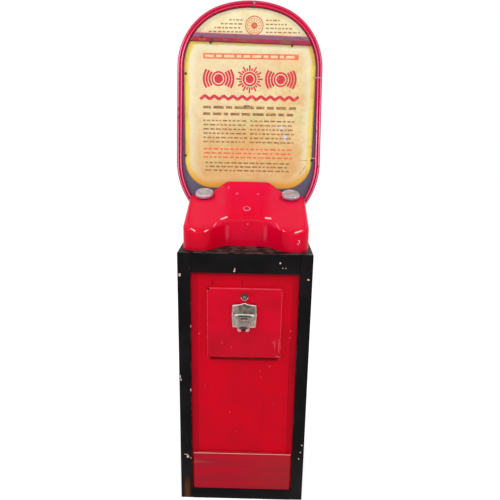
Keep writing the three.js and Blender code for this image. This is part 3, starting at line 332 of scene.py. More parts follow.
front_y = -0.175
black = Finish("black_paint", 0.4, shine=0.05)
front_chips = [
    (-31.8, 791.5, 3.2, 2.4), (-30.4, 797.5, 1.4, 5), (-193.1, 777.2, 3.4, 4.6), (103.5, 818.5, 2.6, 2.8),
    (111.3, 803.5, 1.4, 1.6), (120, 803.7, 1.4, 1.6), (187.3, 770, 3.6, 2.2),
    (-196.8, 445, 2, 5.4), (-194.6, 434, 2, 4), (-161.2, 613.8, 2.2, 4.4), (-164.4, 398.5, 1.8, 4.6),
    (-182, 165.5, 6.5, 1.6), (-176.5, 157.5, 3.6, 5.4), (-166.5, 152.6, 1.4, 3), (192.1, 208.5, 1.8, 3.2),
    (188.6, 182.3, 2.2, 2.2), (184.4, 157.8, 1.8, 2.6),
]
chips = black.front_spots(front_chips, front_y)
from_foot_middle = abs(black.x + 0.18) + black.noise(50, 4).scaled(-0.005, 0.005)
worn_foot = from_foot_middle.fade(0.013, 0.004) * black.z.fade(0.095, 0.035) * black.y.fade(-0.15, -0.165)
brushed = black.noise(26, 4, (1, 1, 0.12))
blotches = black.noise(7, 5)
black.tones(blotches.fade(0.4, 0.75), (9, 8, 10), (24, 20, 22))
patches = black.noise(33, 5).fade(0.5, 0.62)
black.layer(black.edge * patches * 0.5, (96, 62, 56))
black.layer(worn_foot, (84, 46, 18))
top_face = black.z.fade(0.8446, 0.8452)
dust = top_face * black.noise(48, 5).fade(0.35, 0.7)
black.layer(dust * 0.55, (120, 104, 98))
black.layer(chips, (214, 182, 168))
black.roughness(blotches.scaled(0.3, 0.55))
black.bump(brushed * 0.4 - chips, 0.0009, 0.55)

for board in (
    "left_side_panel", "right_side_panel", "top_board", "front_left_stile", "front_right_stile",
    "front_top_rail", "front_bottom_rail", "back_top_rail", "back_bottom_rail",
):
    dressed(board, "_painted", black, "cabinet", 0.0016)
dressed("back_door", "_painted", black, "back_door", 0.0016)


# Bare wood inside: the bottom board, the stop batten that the back door
# closes against and the block under the console, all plain softwood.
def clouded(name, roughness, cloud, under, over, span=(0.35, 0.65), relief=None, gloss=None, **settings):
    """A finish of two tones in soft clouds, which give its relief and its gloss too where asked."""
    made = Finish(name, roughness, **settings)
    clouds = made.noise(*cloud)
    made.tones(clouds.fade(*span) if span else clouds, under, over)
    if relief:
        made.bump(clouds, *relief)
    if gloss:
        made.roughness(clouds.scaled(*gloss))
    return made


wood_grain = (55, 6, (0.12, 1, 1))
raw_wood = clouded("raw_wood", 0.75, wood_grain, (196, 158, 110), (160, 118, 76), relief=(0.0006, 0.5))
for board in ("bottom_board", "back_stop_batten", "console_block"):
    dressed(board, "_bare", raw_wood, "cabinet", 0.0012)

# Front panel: plywood let into the frame, brushed with red enamel that has
# darkened along the strokes, run under the top rail and chipped in places.
panel_y = -0.165
panel = Finish("red_panel_paint", 0.38, shine=0.05)
strokes = panel.noise(30, 5, (1, 1, 0.07))
mottled = panel.noise(9, 5)
panel.tones(mottled.fade(0.3, 0.75), (205, 0, 30), (186, 6, 28))
panel.layer(strokes.fade(0.55, 0.8) * 0.35, (148, 8, 24))
panel_marks = [
    (142, 600.6, 2.2, 3), (141.2, 579, 2, 2.6), (80.8, 481, 2.4, 2), (51.6, 464.8, 2, 1.6),
    (55, 444, 1.8, 2.6), (-41.7, 317, 2, 3.2), (-138.4, 587, 1.8, 3), (-20, 248, 1.4, 1.4),
    (96, 352, 1.4, 2), (-120, 410, 1.2, 1.8),
]
panel_runs = [(-97.6, 752, 1.2, 13), (-92, 753.5, 0.9, 11), (-7.7, 751.5, 1.2, 11)]
side_lines = abs(panel.x).near(0.1425, 0.0009)
line_strength = side_lines * strokes.fade(0.3, 0.7)
# Painted shade: the panel darkens towards the stiles, which stand proud of it.
painted_shade_beside_stile = abs(panel.x).fade(0.138, 0.148)
panel.layer(painted_shade_beside_stile * 0.5, (160, 2, 24))
panel.layer(line_strength * 0.85, (120, 4, 18))
# Painted shadow: a dark band on the panel under the coin door.
painted_shadow_under_door = panel.z.band(0.496, 0.506, 0.55, 0.6) * abs(panel.x).fade(0.109, 0.1)
panel.layer(painted_shadow_under_door * 0.9, (92, 0, 10))
# Painted shadow: the panel darkens just below the top rail.
painted_shadow_under_rail = panel.z.fade(0.77, 0.781)
panel.layer(painted_shadow_under_rail * 0.7, (104, 0, 14))
panel.layer(panel.front_spots(panel_runs, panel_y, ragged=0.4), (88, 10, 16))
panel.layer(panel.front_spots(panel_marks, panel_y), (208, 72, 82))
bare_back = panel.y.fade(-0.1645, -0.1635)
panel.layer(bare_back, (168, 126, 84))
panel.bump(strokes, 0.0006, 0.35)
dressed("front_panel", "_painted", panel, "cabinet", 0.0005, 1)

# Kick board: a loose board nailed over the foot of the panel, its enamel
# rubbed through by shoes along the grain, with one rusty nail at each end.
kick = Finish("kick_paint", 0.5, shine=0.06)
kick_grain = kick.noise(34, 7, (0.05, 1, 1.6))
kick.tones(kick_grain.fade(0.34, 0.62), (186, 12, 36), (158, 26, 42))
towards_right = kick.x.fade(-0.05, 0.14) * 0.55
kick.layer(towards_right, (156, 38, 42))
scuffs = kick_grain.fade(0.56, 0.7) * kick.noise(11, 4).fade(0.4, 0.65)
kick.layer(scuffs * 0.6, (172, 84, 72))
# Painted highlight: a pale line along the kick board's top edge, where light catches it.
kick_top_highlight = kick.edge * kick.z.fade(0.168, 0.171)
kick.layer(kick_top_highlight * 0.9, (248, 164, 150))
kick.roughness(kick_grain.scaled(0.35, 0.7))
kick.bump(kick_grain, 0.0012, 0.5)
dressed("kick_board", "_worn", kick, "cabinet", 0.0014)


def turned(profile, steps=48):
    """A closed or axis-to-axis profile of (radius, height) in mm, turned about Z."""
    shape = bmesh.new()
    points = [shape.verts.new((radius / 1000, 0, height / 1000)) for radius, height in profile]
    for first, second in zip(points, points[1:]):
        shape.edges.new((first, second))
    bmesh.ops.spin(
        shape, geom=shape.verts[:] + shape.edges[:], cent=(0, 0, 0), axis=(0, 0, 1),
        angle=math.tau, steps=steps, use_merge=True,
    )
    bmesh.ops.remove_doubles(shape, verts=shape.verts, dist=0.000005)
    bmesh.ops.recalc_face_normals(shape, faces=shape.faces)
    return shape


def put(shape, matrix):
    bmesh.ops.transform(shape, matrix=matrix, verts=shape.verts)
    return shape


def facing_front(x, y, z):
    """Turns a piece's own +Z to the front (-Y) and puts it there."""
    return Matrix.Translation((x, y, z)) @ Matrix.Rotation(math.radians(90), 4, "X")


rust = clouded(
    "nail_rust", 0.7, (500, 4), (52, 14, 18), (100, 36, 32), relief=(0.0002, 0.5), metallic=0.2, slot="steel"
)
nail_head = [(0, -4), (1, -4), (1, 0), (2.8, 0), (2.6, 0.4), (1.6, 0.8), (0, 0.9)]
kick_front = -0.1743
for side, x, z in (("left", -0.149, 0.1035), ("right", 0.148, 0.1055)):
    nail = put(turned(nail_head, 20), facing_front(x, kick_front, z))
    finished(nail, side + "_kick_nail", rust, "cabinet")

# Coin door: a pan folded from sheet steel with rounded edges, its red enamel
# scratched on the right, worn along the rim and chipped at two corners.
door = Finish("door_paint", 0.34, shine=0.06)
door_cloud = door.noise(13, 5)
door.tones(door_cloud.fade(0.35, 0.7), (208, 3, 38), (190, 6, 32))
streaks = door.noise(36, 6, (1, 1, 0.1)).fade(0.56, 0.75)
door.layer(streaks * 0.25, (150, 12, 30))
door_marks = [
    (-66.6, 562, 1.4, 3.4), (-38.9, 548.2, 1.2, 2.4), (103, 520.5, 5, 2), (110.8, 519.5, 3.4, 1.6),
    (113, 586, 1.6, 4), (-112, 729.5, 2.2, 2.6),
]
# Painted highlight: pale lines along the door's top edge and, fainter, its sides.
highlight_breakup = door.noise(34, 5).scaled(0.35, 1.1)
door_top_highlight = door.z.fade(0.7358, 0.7367) * highlight_breakup * 0.9
side_line = abs(door.x).fade(0.1098, 0.1112) * highlight_breakup * 0.5
door.layer(door_top_highlight.at_least(side_line), (246, 84, 108))
door_low_tone = door.z.fade(0.615, 0.585) * 0.35
door.layer(door_low_tone, (176, 16, 36))
# Painted shadow: a dark patch on the door under the coin slide, seen through its thumb notch.
painted_shadow_under_slide = door.front_spots([(0, 608.5, 9.5, 6.5)], front_y, 0.01, 0.2)
door.layer(painted_shadow_under_slide * 0.8, (64, 12, 18))
door.layer(door.front_spots(door_marks, front_y, 0.008), (164, 92, 88))
scratches = [(95, 559, 0.9, 14), (107.5, 556, 0.8, 24), (90, 565.5, 0.6, 6)]
door.layer(door.front_spots(scratches, front_y, ragged=0.5), (226, 92, 98))
bare_corners = [(-108.5, 735, 3, 3), (107.5, 524.5, 3.4, 2.2)]
door.layer(door.front_spots(bare_corners, front_y, 0.008), (60, 14, 18))
rim_wear = door.edge * door.noise(70, 4).fade(0.54, 0.64)
door.layer(rim_wear * 0.7, (236, 120, 120))
door.roughness(door_cloud.scaled(0.26, 0.44))
door.bump(door.noise(70, 4), 0.0004, 0.25)
dressed("coin_door", "_painted", door, "coin_door", 0.0011, 3)
# The hinge leaves are painted dark red, carrying the painted shadow under the door across them.
hinge = clouded(
    "hinge_shade_paint", 0.6, (90, 5), (78, 0, 8), (112, 6, 18), relief=(0.0003, 0.4), shine=0.1, slot="door_paint"
)
for body, leaf in (("cabinet", "coin_door_fixed_leaf"), ("coin_door", "coin_door_moving_leaf")):
    dressed(leaf, "_painted", hinge, body, 0.0002, 1)


# Locks: a nickelled face with a rolled rim, gone dark with grime, round a
# turning plug. One is in the coin door, its twin in the back door.
def smooth_profile(points, rounds):
    """The profile with the corners named in rounds cut by short arcs."""
    out = []
    for index, point in enumerate(points):
        reach = rounds.get(index, 0)
        if not reach:
            out.append(point)
            continue
        here = Vector(point)
        before = here + (Vector(points[index - 1]) - here).normalized() * reach
        after = here + (Vector(points[index + 1]) - here).normalized() * reach
        for share in (0, 0.25, 0.5, 0.75, 1):
            near = before.lerp(here, share)
            far = here.lerp(after, share)
            out.append(tuple(near.lerp(far, share)))
    return out


def lock_case(depth):
    """The face and threaded body round the plug, from its face at 0 back to -depth."""
    outline = [
        (6.7, -depth), (6.7, 0), (7.2, 0.2), (8.6, -0.6), (9.8, 0), (11, -0.8), (11, -3), (9.5, -3),
        (9.5, -depth), (6.7, -depth),
    ]
    return turned(smooth_profile(outline, {4: 0.4, 5: 0.5}), 56)


lock_z, back_lock_x, back_lock_z = 0.712, 0.149, 0.4025
door_lock_face = facing_front(0, -0.1783, lock_z)
back_lock_face = Matrix.Translation((back_lock_x, 0.1781, back_lock_z))
back_lock_face @= Matrix.Rotation(math.radians(-90), 4, "X")


def lock_nickel(name, x, z):
    """Nickel gone dark with grime, still bright on the plug, with a painted highlight on the rim's lower
    half.
    """
    made = Finish(name, 0.4, metallic=0.3, slot="old_nickel")
    level = made.z - z
    from_middle = made.length(made.x - x, level)
    grime = made.noise(300, 4)
    made.tones(grime.fade(0.35, 0.65), (40, 22, 22), (78, 52, 44))
    plug_tone = made.blend(grime, (84, 96, 78), (150, 158, 138))
    made.layer(from_middle.fade(0.0046, 0.0034), plug_tone)
    # Painted highlight: a pale arc on the lower half of the rim.
    lock_rim_highlight = from_middle.fade(0.009, 0.0097) * level.fade(0.003, -0.004)
    made.layer(lock_rim_highlight, (248, 190, 186))
    made.bump(grime, 0.0002, 0.4)
    return made


for body, cam_body, centre, face, depth in (
    ("coin_door", "coin_door_lock", (0, lock_z), door_lock_face, 26),
    ("back_door", "back_lock", (back_lock_x, back_lock_z), back_lock_face, 30),
):
    label = cam_body.replace("_lock", "")
    grimy = lock_nickel(label + "_lock_nickel", *centre)
    finished(put(lock_case(depth), face), label + "_lock_face", grimy, body, label + "_lock_case")
    cam = soften(merged_copy(label + "_lock_cam"), 0.0003, 1)
    finished(cam, label + "_lock_plug", grimy, cam_body, label + "_lock_cam")

# Coin plate: a cast nickelled shield with swelling sides, a low peak and a
# raised rim round a pitted field. A bezel frames the slide's opening.
nickel = Finish("old_nickel", 0.34, metallic=1)
tarnish = nickel.noise(90, 6)
stipple = nickel.noise(900, 3)
nickel.tones(tarnish.fade(0.35, 0.66), (150, 144, 134), (92, 80, 70))
nickel.layer(stipple.fade(0.6, 0.72), (60, 48, 42))
rubbed_bright = nickel.edge * 0.8
greened = nickel.noise(250, 4).fade(0.5, 0.6)
nickel.layer(greened * 0.5, (132, 136, 114))
pinked = nickel.noise(210, 4, (1, 1, 1.4)).fade(0.54, 0.64)
nickel.layer(pinked * 0.45, (178, 116, 116))
raised = nickel.y.fade(-0.1827, -0.1831)
# Painted highlights on the raised rim's front: pale grey at the bezel's height and near-white pink along the
# top.
bezel_highlight_band = nickel.z.near(0.658, 0.003)
raised_tone_and_highlights = nickel.blend(bezel_highlight_band, (122, 108, 102), (206, 210, 200))
raised_tone_and_highlights = nickel.blend(nickel.z.fade(0.684, 0.687), raised_tone_and_highlights, (252, 222, 224))
on_plate = raised * nickel.noise(180, 4).scaled(0.5, 1)
nickel.layer(on_plate, raised_tone_and_highlights)
# Painted shade: a near-black patch at the top of the slide's opening.
slot_painted_shade = nickel.front_spots([(0, 655.2, 4.6, 1.9)], -0.184, 0.01, 0.2)
nickel.layer(slot_painted_shade, (16, 10, 10))
nickel.layer(rubbed_bright, (224, 212, 206))
nickel.roughness(tarnish.scaled(0.22, 0.5))
nickel.bump(stipple, 0.0003, 0.5)
plate_front, plate_back = -0.1833, -0.1753
plate_low, plate_top = 0.6175, 0.6885
plate_foot, plate_swell, peak_half = 0.034, 0.039, 0.01
plate_shoulder, plate_peak = 0.6915, 0.6995


def joined(base, extra):
    """Adds one shape to another."""
    spare = mesh_of(extra, "spare")
    base.from_mesh(spare)
    bpy.data.meshes.remove(spare)
    return base


def bar_shape(low, high, width=0, steps=2):
    """A block between two corners, with its edges rounded."""
    shape = bmesh.new()
    size = [b - a for a, b in zip(low, high)]
    middle = [(a + b) / 2 for a, b in zip(low, high)]
    matrix = Matrix.Translation(middle) @ Matrix.Diagonal((*size, 1))
    bmesh.ops.create_cube(shape, size=1, matrix=matrix)
    return soften(shape, width, steps) if width else shape


def carved(piece, *cutters):
    """Takes the cutters' shapes out of a piece, whose modifiers become part of its mesh."""
    tools = [linked("cutter", mesh_of(cutter, "cutter")) for cutter in cutters]
    for tool in tools:
        cut = piece.modifiers.new("cut", "BOOLEAN")
        cut.operation = "DIFFERENCE"
        cut.solver = "EXACT"
        cut.object = tool
    graph = bpy.context.evaluated_depsgraph_get()
    piece.data = smoothed(bpy.data.meshes.new_from_object(piece.evaluated_get(graph)))
    piece.modifiers.clear()
    for tool in tools:
        bpy.data.objects.remove(tool)


def curve(start, control, end, steps=10):
    """Points along a bend from start towards control to end, without the last."""
    start, control, end = Vector(start), Vector(control), Vector(end)
    shares = [k / steps for k in range(steps)]
    return [start.lerp(control, s).lerp(control.lerp(end, s), s) for s in shares]


def picked(made, kind):
    """The vertices (BMVert) or edges (BMEdge) among what an operator made."""
    return [item for item in made if isinstance(item, kind)]


def slab(corners, through):
    """A flat outline drawn out into a solid by the vector through."""
    shape = bmesh.new()
    face = shape.faces.new([shape.verts.new(corner) for corner in corners])
    made = bmesh.ops.extrude_face_region(shape, geom=[face])["geom"]
    bmesh.ops.translate(shape, verts=picked(made, bmesh.types.BMVert), vec=through)
    bmesh.ops.recalc_face_normals(shape, faces=shape.faces)
    return shape


plate_middle = 0.653
plate_corner, plate_bend = (0.035, plate_top), (0.022, plate_top + 0.0015)
right_half = curve((plate_foot, plate_low), (plate_swell, plate_middle), plate_corner)
right_half += curve(plate_corner, plate_bend, (peak_half, plate_shoulder), 4)
peak = curve((peak_half, plate_shoulder), (0, plate_peak), (-peak_half, plate_shoulder), 14)
left_half = [Vector((-p.x, p.y)) for p in reversed(right_half)]
shield = right_half + peak + [Vector((-peak_half, plate_shoulder))] + left_half
plate_shape = slab([(p.x, plate_front, p.y) for p in shield], (0, plate_back - plate_front, 0))
plate_field = min(plate_shape.faces, key=lambda f: (f.normal.y, f.calc_center_median().y))
for width, depth in ((0.0024, 0), (0.0008, -0.0014)):
    bmesh.ops.inset_region(
        plate_shape, faces=[plate_field], thickness=width, depth=depth, use_even_offset=True
    )
soften(plate_shape, 0.0005, 2, 25)
plate_piece = finished(plate_shape, "coin_plate_cast", nickel, "coin_door", "coin_plate")
slide_gap = bar_shape((-0.0207, -0.2, 0.6443), (0.0207, -0.15, 0.6537))
carved(plate_piece, slide_gap)

bezel_back, bezel_round = -0.1812, 0.0009
bezel_shape = bar_shape((-0.0295, -0.1856, 0.6552), (0.0295, bezel_back, 0.6606), bezel_round)
for rib_x in (-0.025, 0.025):
    low, high = (rib_x - 0.0025, -0.185, 0.6215), (rib_x + 0.0025, bezel_back, 0.656)
    joined(bezel_shape, bar_shape(low, high, bezel_round))
finished(bezel_shape, "coin_plate_bezel", nickel, "coin_door")

# Coin slide: a thick nickelled bar that the hand pushes in, with a seat for
# one coin near the plate and a thumb notch cut into its rounded tip.
slide_tip, slide_rear = -0.2793, -0.115
slide_top, slide_bottom = 0.653, 0.645
slide_outline = [
    (-0.02, slide_rear), (0.02, slide_rear), (0.02, -0.1833), (0.018, -0.2673), (0.016, -0.2763),
    (0.012, slide_tip), (-0.012, slide_tip), (-0.016, -0.2763), (-0.018, -0.2673), (-0.02, -0.1833),
]
slide_shape = slab([(x, y, slide_bottom) for x, y in slide_outline], (0, 0, slide_top - slide_bottom))
seat_middle, notch_middle = (0, -0.2033, 0.649), (0, -0.2693, 0.649)
slide = Finish("slide_nickel", 0.38, metallic=0.3, slot="old_nickel")
from_seat, from_notch = [
    slide.length(slide.x, slide.y - middle[1]) for middle in (seat_middle, notch_middle)
]
slide_cloud = slide.noise(160, 5)
slide.tones(slide_cloud.fade(0.35, 0.65), (158, 150, 144), (112, 96, 92))
outer_half = slide.y.fade(-0.225, -0.245)
slide.layer(outer_half * 0.6, (166, 172, 170))
slide.layer(slide.edge * 0.7, (230, 200, 198))
tip_rubbed = slide.y.fade(-0.2725, -0.2765)
slide.layer(tip_rubbed, (190, 138, 140))
# Painted highlight: a pale arc on the near rim of the coin seat.
seat_edge_highlight = from_seat.near(0.0124, 0.0009) * slide.y.fade(-0.207, -0.211)
slide.layer(seat_edge_highlight, (226, 222, 214))
# Painted shade: the coin seat's wall is dark steel below and near black above, where it lies in shade.
seat_wall_shade = from_seat.fade(0.0114, 0.0111)
seat_steel_and_shade = slide.blend(slide.z.fade(0.6475, 0.6505), (124, 104, 102), (20, 14, 14))
slide.layer(seat_wall_shade, seat_steel_and_shade)
# The thumb notch's wall is dark steel with painted shade on it.
notch_wall_steel_and_shade = from_notch.fade(0.0124, 0.0119)
slide.layer(notch_wall_steel_and_shade, (66, 38, 34))
slide.roughness(slide_cloud.scaled(0.3, 0.5))
slide.bump(slide.noise(900, 3), 0.0002, 0.4)
soften(slide_shape, 0.0011, 3, 25)
slide_piece = finished(slide_shape, "coin_slide_bar", slide, "coin_slide", "coin_slide")

coin_seat = turned([(0, -20), (11, -20), (11, 3.4), (12.2, 4.6), (12.2, 20), (0, 20)], 56)
notch_cut = turned([(0, -20), (11.5, -20), (11.5, 3.2), (12.8, 4.6), (12.8, 20), (0, 20)], 56)
carved(
    slide_piece,
    put(coin_seat, Matrix.Translation(seat_middle)),
    put(notch_cut, Matrix.Translation(notch_middle)),
)

# Console casting: one piece of cast metal under thick glossy red enamel,
# with a palm lobe on each side of the front recess and a hump behind it.
casting_base, cabinet_top = 0.8453, 0.845
casting_corners = [
    (0.062, 0.092, 0.026, -1), (0.118, 0.027, 0.042, 1), (0.189, 0.027, 0.036, 1), (0.189, 0.262, 0.04, 1),
]
casting_pieces = [6, 4, 16, 28, 16, 4, 6, 9]
casting_middle = Vector((0, 0.059))
edge_round, casting_wall, corner_steps = 0.01, 0.005, 10
palm_start, palm_height, palm_slope = 0.04, 0.067, 0.344
hump_start, hump_length, hump_lift, hump_slope = 0.092, 0.158, 0.003, 0.214
hump_top_half, hump_top_spread, hump_foot_half, hump_foot_spread = 0.04, 0.018, 0.072, 0.056
skin_rings, outer_share, share_step = 26, 0.97, 0.0373
knob_x, knob_depth, stem_hole_radius = 0.141, 0.228, 0.0113
screw_depth, screw_hole_radius, cutter_length = 0.131, 0.0032, 0.05


def clamp(value, low, high):
    return max(low, min(high, value))


def casting_height(x, y):
    """Height of the casting's skin above the cabinet's top."""
    depth = y - front_y
    palm = palm_height + palm_slope * (depth - palm_start)
    rise = max(hump_lift + hump_slope * (depth - hump_start), 0)
    along = clamp((depth - hump_start) / hump_length, 0, 1.1)
    top_half = hump_top_half + hump_top_spread * along
    foot_half = hump_foot_half + hump_foot_spread * along
    share = clamp((abs(x) - top_half) / (foot_half - top_half), 0, 1)
    return palm + rise * (1 - share * share * (3 - 2 * share))


def casting_ring(inset):
    """The casting's plan moved inwards by inset, as points with arcs at its corners."""
    half = [(Vector((x, front_y + depth)), radius, bulge) for x, depth, radius, bulge in casting_corners]
    other = [(Vector((-corner.x, corner.y)), radius, bulge) for corner, radius, bulge in reversed(half)]
    corners = half + other
    arcs = []
    for index, (corner, radius, bulge) in enumerate(corners):
        coming = (corner - corners[index - 1][0]).normalized()
        going = (corners[(index + 1) % len(corners)][0] - corner).normalized()
        turn = coming.angle(going)
        inward = Vector((-coming.y, coming.x))
        shift = inward + Vector((-going.y, going.x))
        centre = corner + shift * inset / (1 + inward.dot(Vector((-going.y, going.x))))
        radius = max(radius - bulge * inset, 0.001)
        entry = centre - coming * radius * math.tan(turn / 2)
        hub = entry + inward * bulge * radius
        steps = [turn * k / corner_steps for k in range(corner_steps + 1)]
        arcs.append([
            hub + (inward * -bulge * math.cos(a) + coming * math.sin(a)) * radius for a in steps
        ])
    points = []
    for index, arc in enumerate(arcs):
        points += arc
        goal = arcs[(index + 1) % len(arcs)][0]
        pieces = casting_pieces[index]
        points += [arc[-1].lerp(goal, k / pieces) for k in range(1, pieces)]
    return points


def ring_edges(shape, points):
    """Closes the points into one ring and returns its edges."""
    corners = [shape.verts.new(point) for point in points]
    return [shape.edges.new((corners[k - 1], corners[k])) for k in range(len(corners))]


def on_skin(point, down=0):
    return Vector((point.x, point.y, cabinet_top + casting_height(point.x, point.y) - down))


casting_shape = bmesh.new()
ring_order = casting_shape.verts.layers.int.new("order")


def next_ring(edges, points):
    """Carries the skin on from one ring to the points of the next."""
    made = bmesh.ops.extrude_edge_only(casting_shape, edges=edges)["geom"]
    corners = set(picked(made, bmesh.types.BMVert))
    for corner in corners:
        corner.co = points[corner[ring_order]]
    return [edge for edge in picked(made, bmesh.types.BMEdge) if set(edge.verts) <= corners]


ring = ring_edges(casting_shape, [Vector((p.x, p.y, casting_base)) for p in casting_ring(0)])
for index, corner in enumerate(casting_shape.verts):
    corner[ring_order] = index
for angle in [math.radians(90 - 15 * k) for k in range(7)]:
    inset = edge_round * (1 - math.sin(angle))
    down = edge_round * (1 - math.cos(angle))
    ring = next_ring(ring, [on_skin(p, down) for p in casting_ring(inset)])
skin_edge = casting_ring(edge_round)
for share in [outer_share - share_step * k for k in range(skin_rings)]:
    ring = next_ring(ring, [on_skin(casting_middle.lerp(p, share)) for p in skin_edge])
cap = bmesh.ops.contextual_create(casting_shape, geom=ring)["faces"]
bmesh.ops.poke(casting_shape, faces=cap)
bmesh.ops.recalc_face_normals(casting_shape, faces=casting_shape.faces)
if casting_shape.faces[0].normal.dot(casting_shape.faces[0].calc_center_median() - Vector((0, 0, 0.9))) < 0:
    bmesh.ops.reverse_faces(casting_shape, faces=casting_shape.faces)

enamel = Finish("red_enamel", 0.16, shine=0.08)
enamel_cloud = enamel.noise(11, 4)
enamel.tones(enamel_cloud.fade(0.3, 0.75), (226, 3, 50), (208, 2, 36))
# Painted sheen: the palms' top faces are paler pink where they reflect the light.
palm_painted_sheen = enamel.z.fade(0.904, 0.922) * abs(enamel.x).fade(0.05, 0.09)
enamel.layer(palm_painted_sheen * 0.6, (230, 34, 72))
# Painted light: the hump turns brighter and pinker higher up, where it faces the light.
high = enamel.z.fade(0.93, 1.02)
enamel.layer(high * 0.6, (232, 12, 72))
nicks = enamel.spots([
    ((-0.098, -0.12, 0.9), (0.0016, 0.01, 0.002)), ((0.052, 0.02, 0.99), (0.002, 0.003, 0.006)),
])
scrape_marks = [(158, 881, 3.4, 0.9), (159, 877, 1, 3), (155.5, 871, 1.1, 3.4)]
scraped = enamel.front_spots(scrape_marks, -0.148, 0.012, 0.6, 140)
rubbed_pink = enamel.spots([
    ((-0.062, 0.052, 1.006), (0.004, 0.006, 0.006)), ((-0.034, 0.022, 0.993), (0.005, 0.006, 0.004)),
    ((0.034, 0.022, 0.993), (0.0035, 0.006, 0.004)), ((0.004, -0.083, 0.915), (0.003, 0.006, 0.003)),
], 0.9, 90)
enamel.layer(rubbed_pink * 0.4, (244, 120, 150))
enamel.layer(scraped, (248, 186, 200))
recess_corner_x = 0.058
# Painted light: soft pale bands on the recess's vertical corners.
painted_corner_light = abs(abs(enamel.x) - recess_corner_x).fade(0.007, 0.001)
painted_corner_light *= enamel.z.band(0.853, 0.88, 0.902, 0.914) * enamel.y.band(-0.125, -0.105, -0.076, -0.066)
enamel.layer(painted_corner_light * 0.4, (240, 84, 104))


def highlight_strokes(rows, y, steps):
    """Marks in rows for painted highlight lines at y, each from x, z to x, z and its half width in mm."""
    marks = []
    for x, z, end_x, end_z, width in rows:
        start, end = Vector((x, y * 1000, z)) / 1000, Vector((end_x, y * 1000, end_z)) / 1000
        reach = (width * 0.0015, 0.014, width / 1000)
        marks += [(start.lerp(end, k / (steps - 1)), reach) for k in range(steps)]
    return marks


# Painted highlights: pale glints along the rims of the lobes and the recess, and thin lines down its sides.
lobe_glint_strokes = [
    (-172, 914, -151, 905, 2), (-120, 903, -101, 912, 2.4),
    (101, 915, 112, 908, 1.8), (147, 905, 168, 911, 2),
]
recess_glint_strokes = [(-76, 929, -61, 934, 2.2), (60, 934, 73, 933, 2.4)]
glint_marks = highlight_strokes(lobe_glint_strokes, -0.149, 5) + highlight_strokes(recess_glint_strokes, -0.083, 5)
fine_glint_marks = highlight_strokes([(-96, 914, -86, 928, 1.1)], -0.115, 9)
fine_glint_marks += highlight_strokes([(84, 931, 101, 909, 1)], -0.115, 11)
painted_glints = enamel.spots(glint_marks, 0.6, 110) * 0.7
fine_glints = enamel.spots(fine_glint_marks, 0.6, 110) * 0.35
enamel.layer(painted_glints.at_least(fine_glints), (255, 206, 216))
enamel.layer(nicks, (120, 22, 30))
enamel.roughness(enamel.noise(30, 4).scaled(0.09, 0.2))
enamel.bump(enamel.noise(42, 3), 0.0005, 0.2)
casting = finished(casting_shape, "console_casting_enamelled", enamel, "cabinet", "console_casting")
shell = casting.modifiers.new("wall", "SOLIDIFY")
shell.thickness = casting_wall
shell.offset = -1


def pin_shape(radius, length, segments=56):
    """A plain round cutter about Z, centred on its own middle."""
    shape = bmesh.new()
    bmesh.ops.create_cone(
        shape, cap_ends=True, segments=segments, radius1=radius, radius2=radius, depth=length
    )
    return shape


def standing_on_skin(x, depth):
    """Puts a piece's own +Z square on the casting's skin."""
    y = front_y + depth
    step = 0.001
    slope = (casting_height(x, y + step) - casting_height(x, y - step)) / (2 * step)
    place = Matrix.Translation((x, y, cabinet_top + casting_height(x, y)))
    return place @ Matrix.Rotation(math.atan(slope), 4, "X")


knob_stands = {
    "left": standing_on_skin(-knob_x, knob_depth), "right": standing_on_skin(knob_x, knob_depth),
}
screw_stand = standing_on_skin(0, screw_depth)
carved(
    casting,
    *[put(pin_shape(stem_hole_radius, cutter_length), stand) for stand in knob_stands.values()],
    put(pin_shape(screw_hole_radius, cutter_length), screw_stand),
)

# Console screw: one screw through a cup washer painted over with the
# casting, in the middle of the hump's front slope.
washer_profile = [
    (3.2, 0.1), (12.5, 0.1), (12.2, 1), (11.4, 2.1), (10.2, 2.8), (9, 3), (8, 2.7), (7, 1.6), (3.2, 1.6),
    (3.2, 0.1),
]
painted = Finish("washer_enamel", 0.25, shine=0.12, slot="red_enamel")
from_screw = painted.vector("DISTANCE", painted.place, screw_stand.translation, output="Value")
# Painted highlight: a pale pink ring round the washer's rolled rim.
washer_ring_highlight = from_screw.near(0.0101, 0.0019) * painted.noise(160, 4).scaled(0.3, 1)
painted.tones(washer_ring_highlight, (196, 8, 40), (248, 120, 150))
painted.bump(painted.noise(300, 3), 0.0002, 0.3)
washer = put(turned(washer_profile), screw_stand)
finished(washer, "console_cup_washer_enamelled", painted, "cabinet", "console_cup_washer")
screw_profile = [(0, -26), (3, -24), (3, 1.7), (6, 1.7), (5.9, 2.6), (5.2, 3.4), (3.6, 3.9), (0, 4)]
screw = put(turned(screw_profile, 36), screw_stand)
screw_piece = finished(screw, "console_screw_turned", painted, "cabinet", "console_screw")
screw_slot = bar_shape((-0.007, -0.0006, 0.0028), (0.007, 0.0006, 0.006))
put(screw_slot, screw_stand @ Matrix.Rotation(0.5, 4, "Z"))
carved(screw_piece, screw_slot)

# Grommets: black rubber rings that keep the vibrating stems off the casting.
# Each is turned, and sits in its hole square to the casting's skin.
rubber = clouded("rubber", 0.7, (140, 4), (20, 20, 21), (52, 50, 49), span=None, relief=(0.0002, 0.4))
grommet_profile = [
    (8.5, -5), (11, -5), (11, 0.2), (15, 0.2), (15, 1.5), (14.4, 2.1), (13.6, 2.3), (9.4, 2.3), (8.7, 1.8),
    (8.5, -5),
]
for side, stand in knob_stands.items():
    grommet = put(turned(grommet_profile), stand)
    finished(grommet, side + "_grommet_ring", rubber, "cabinet", side + "_grommet")

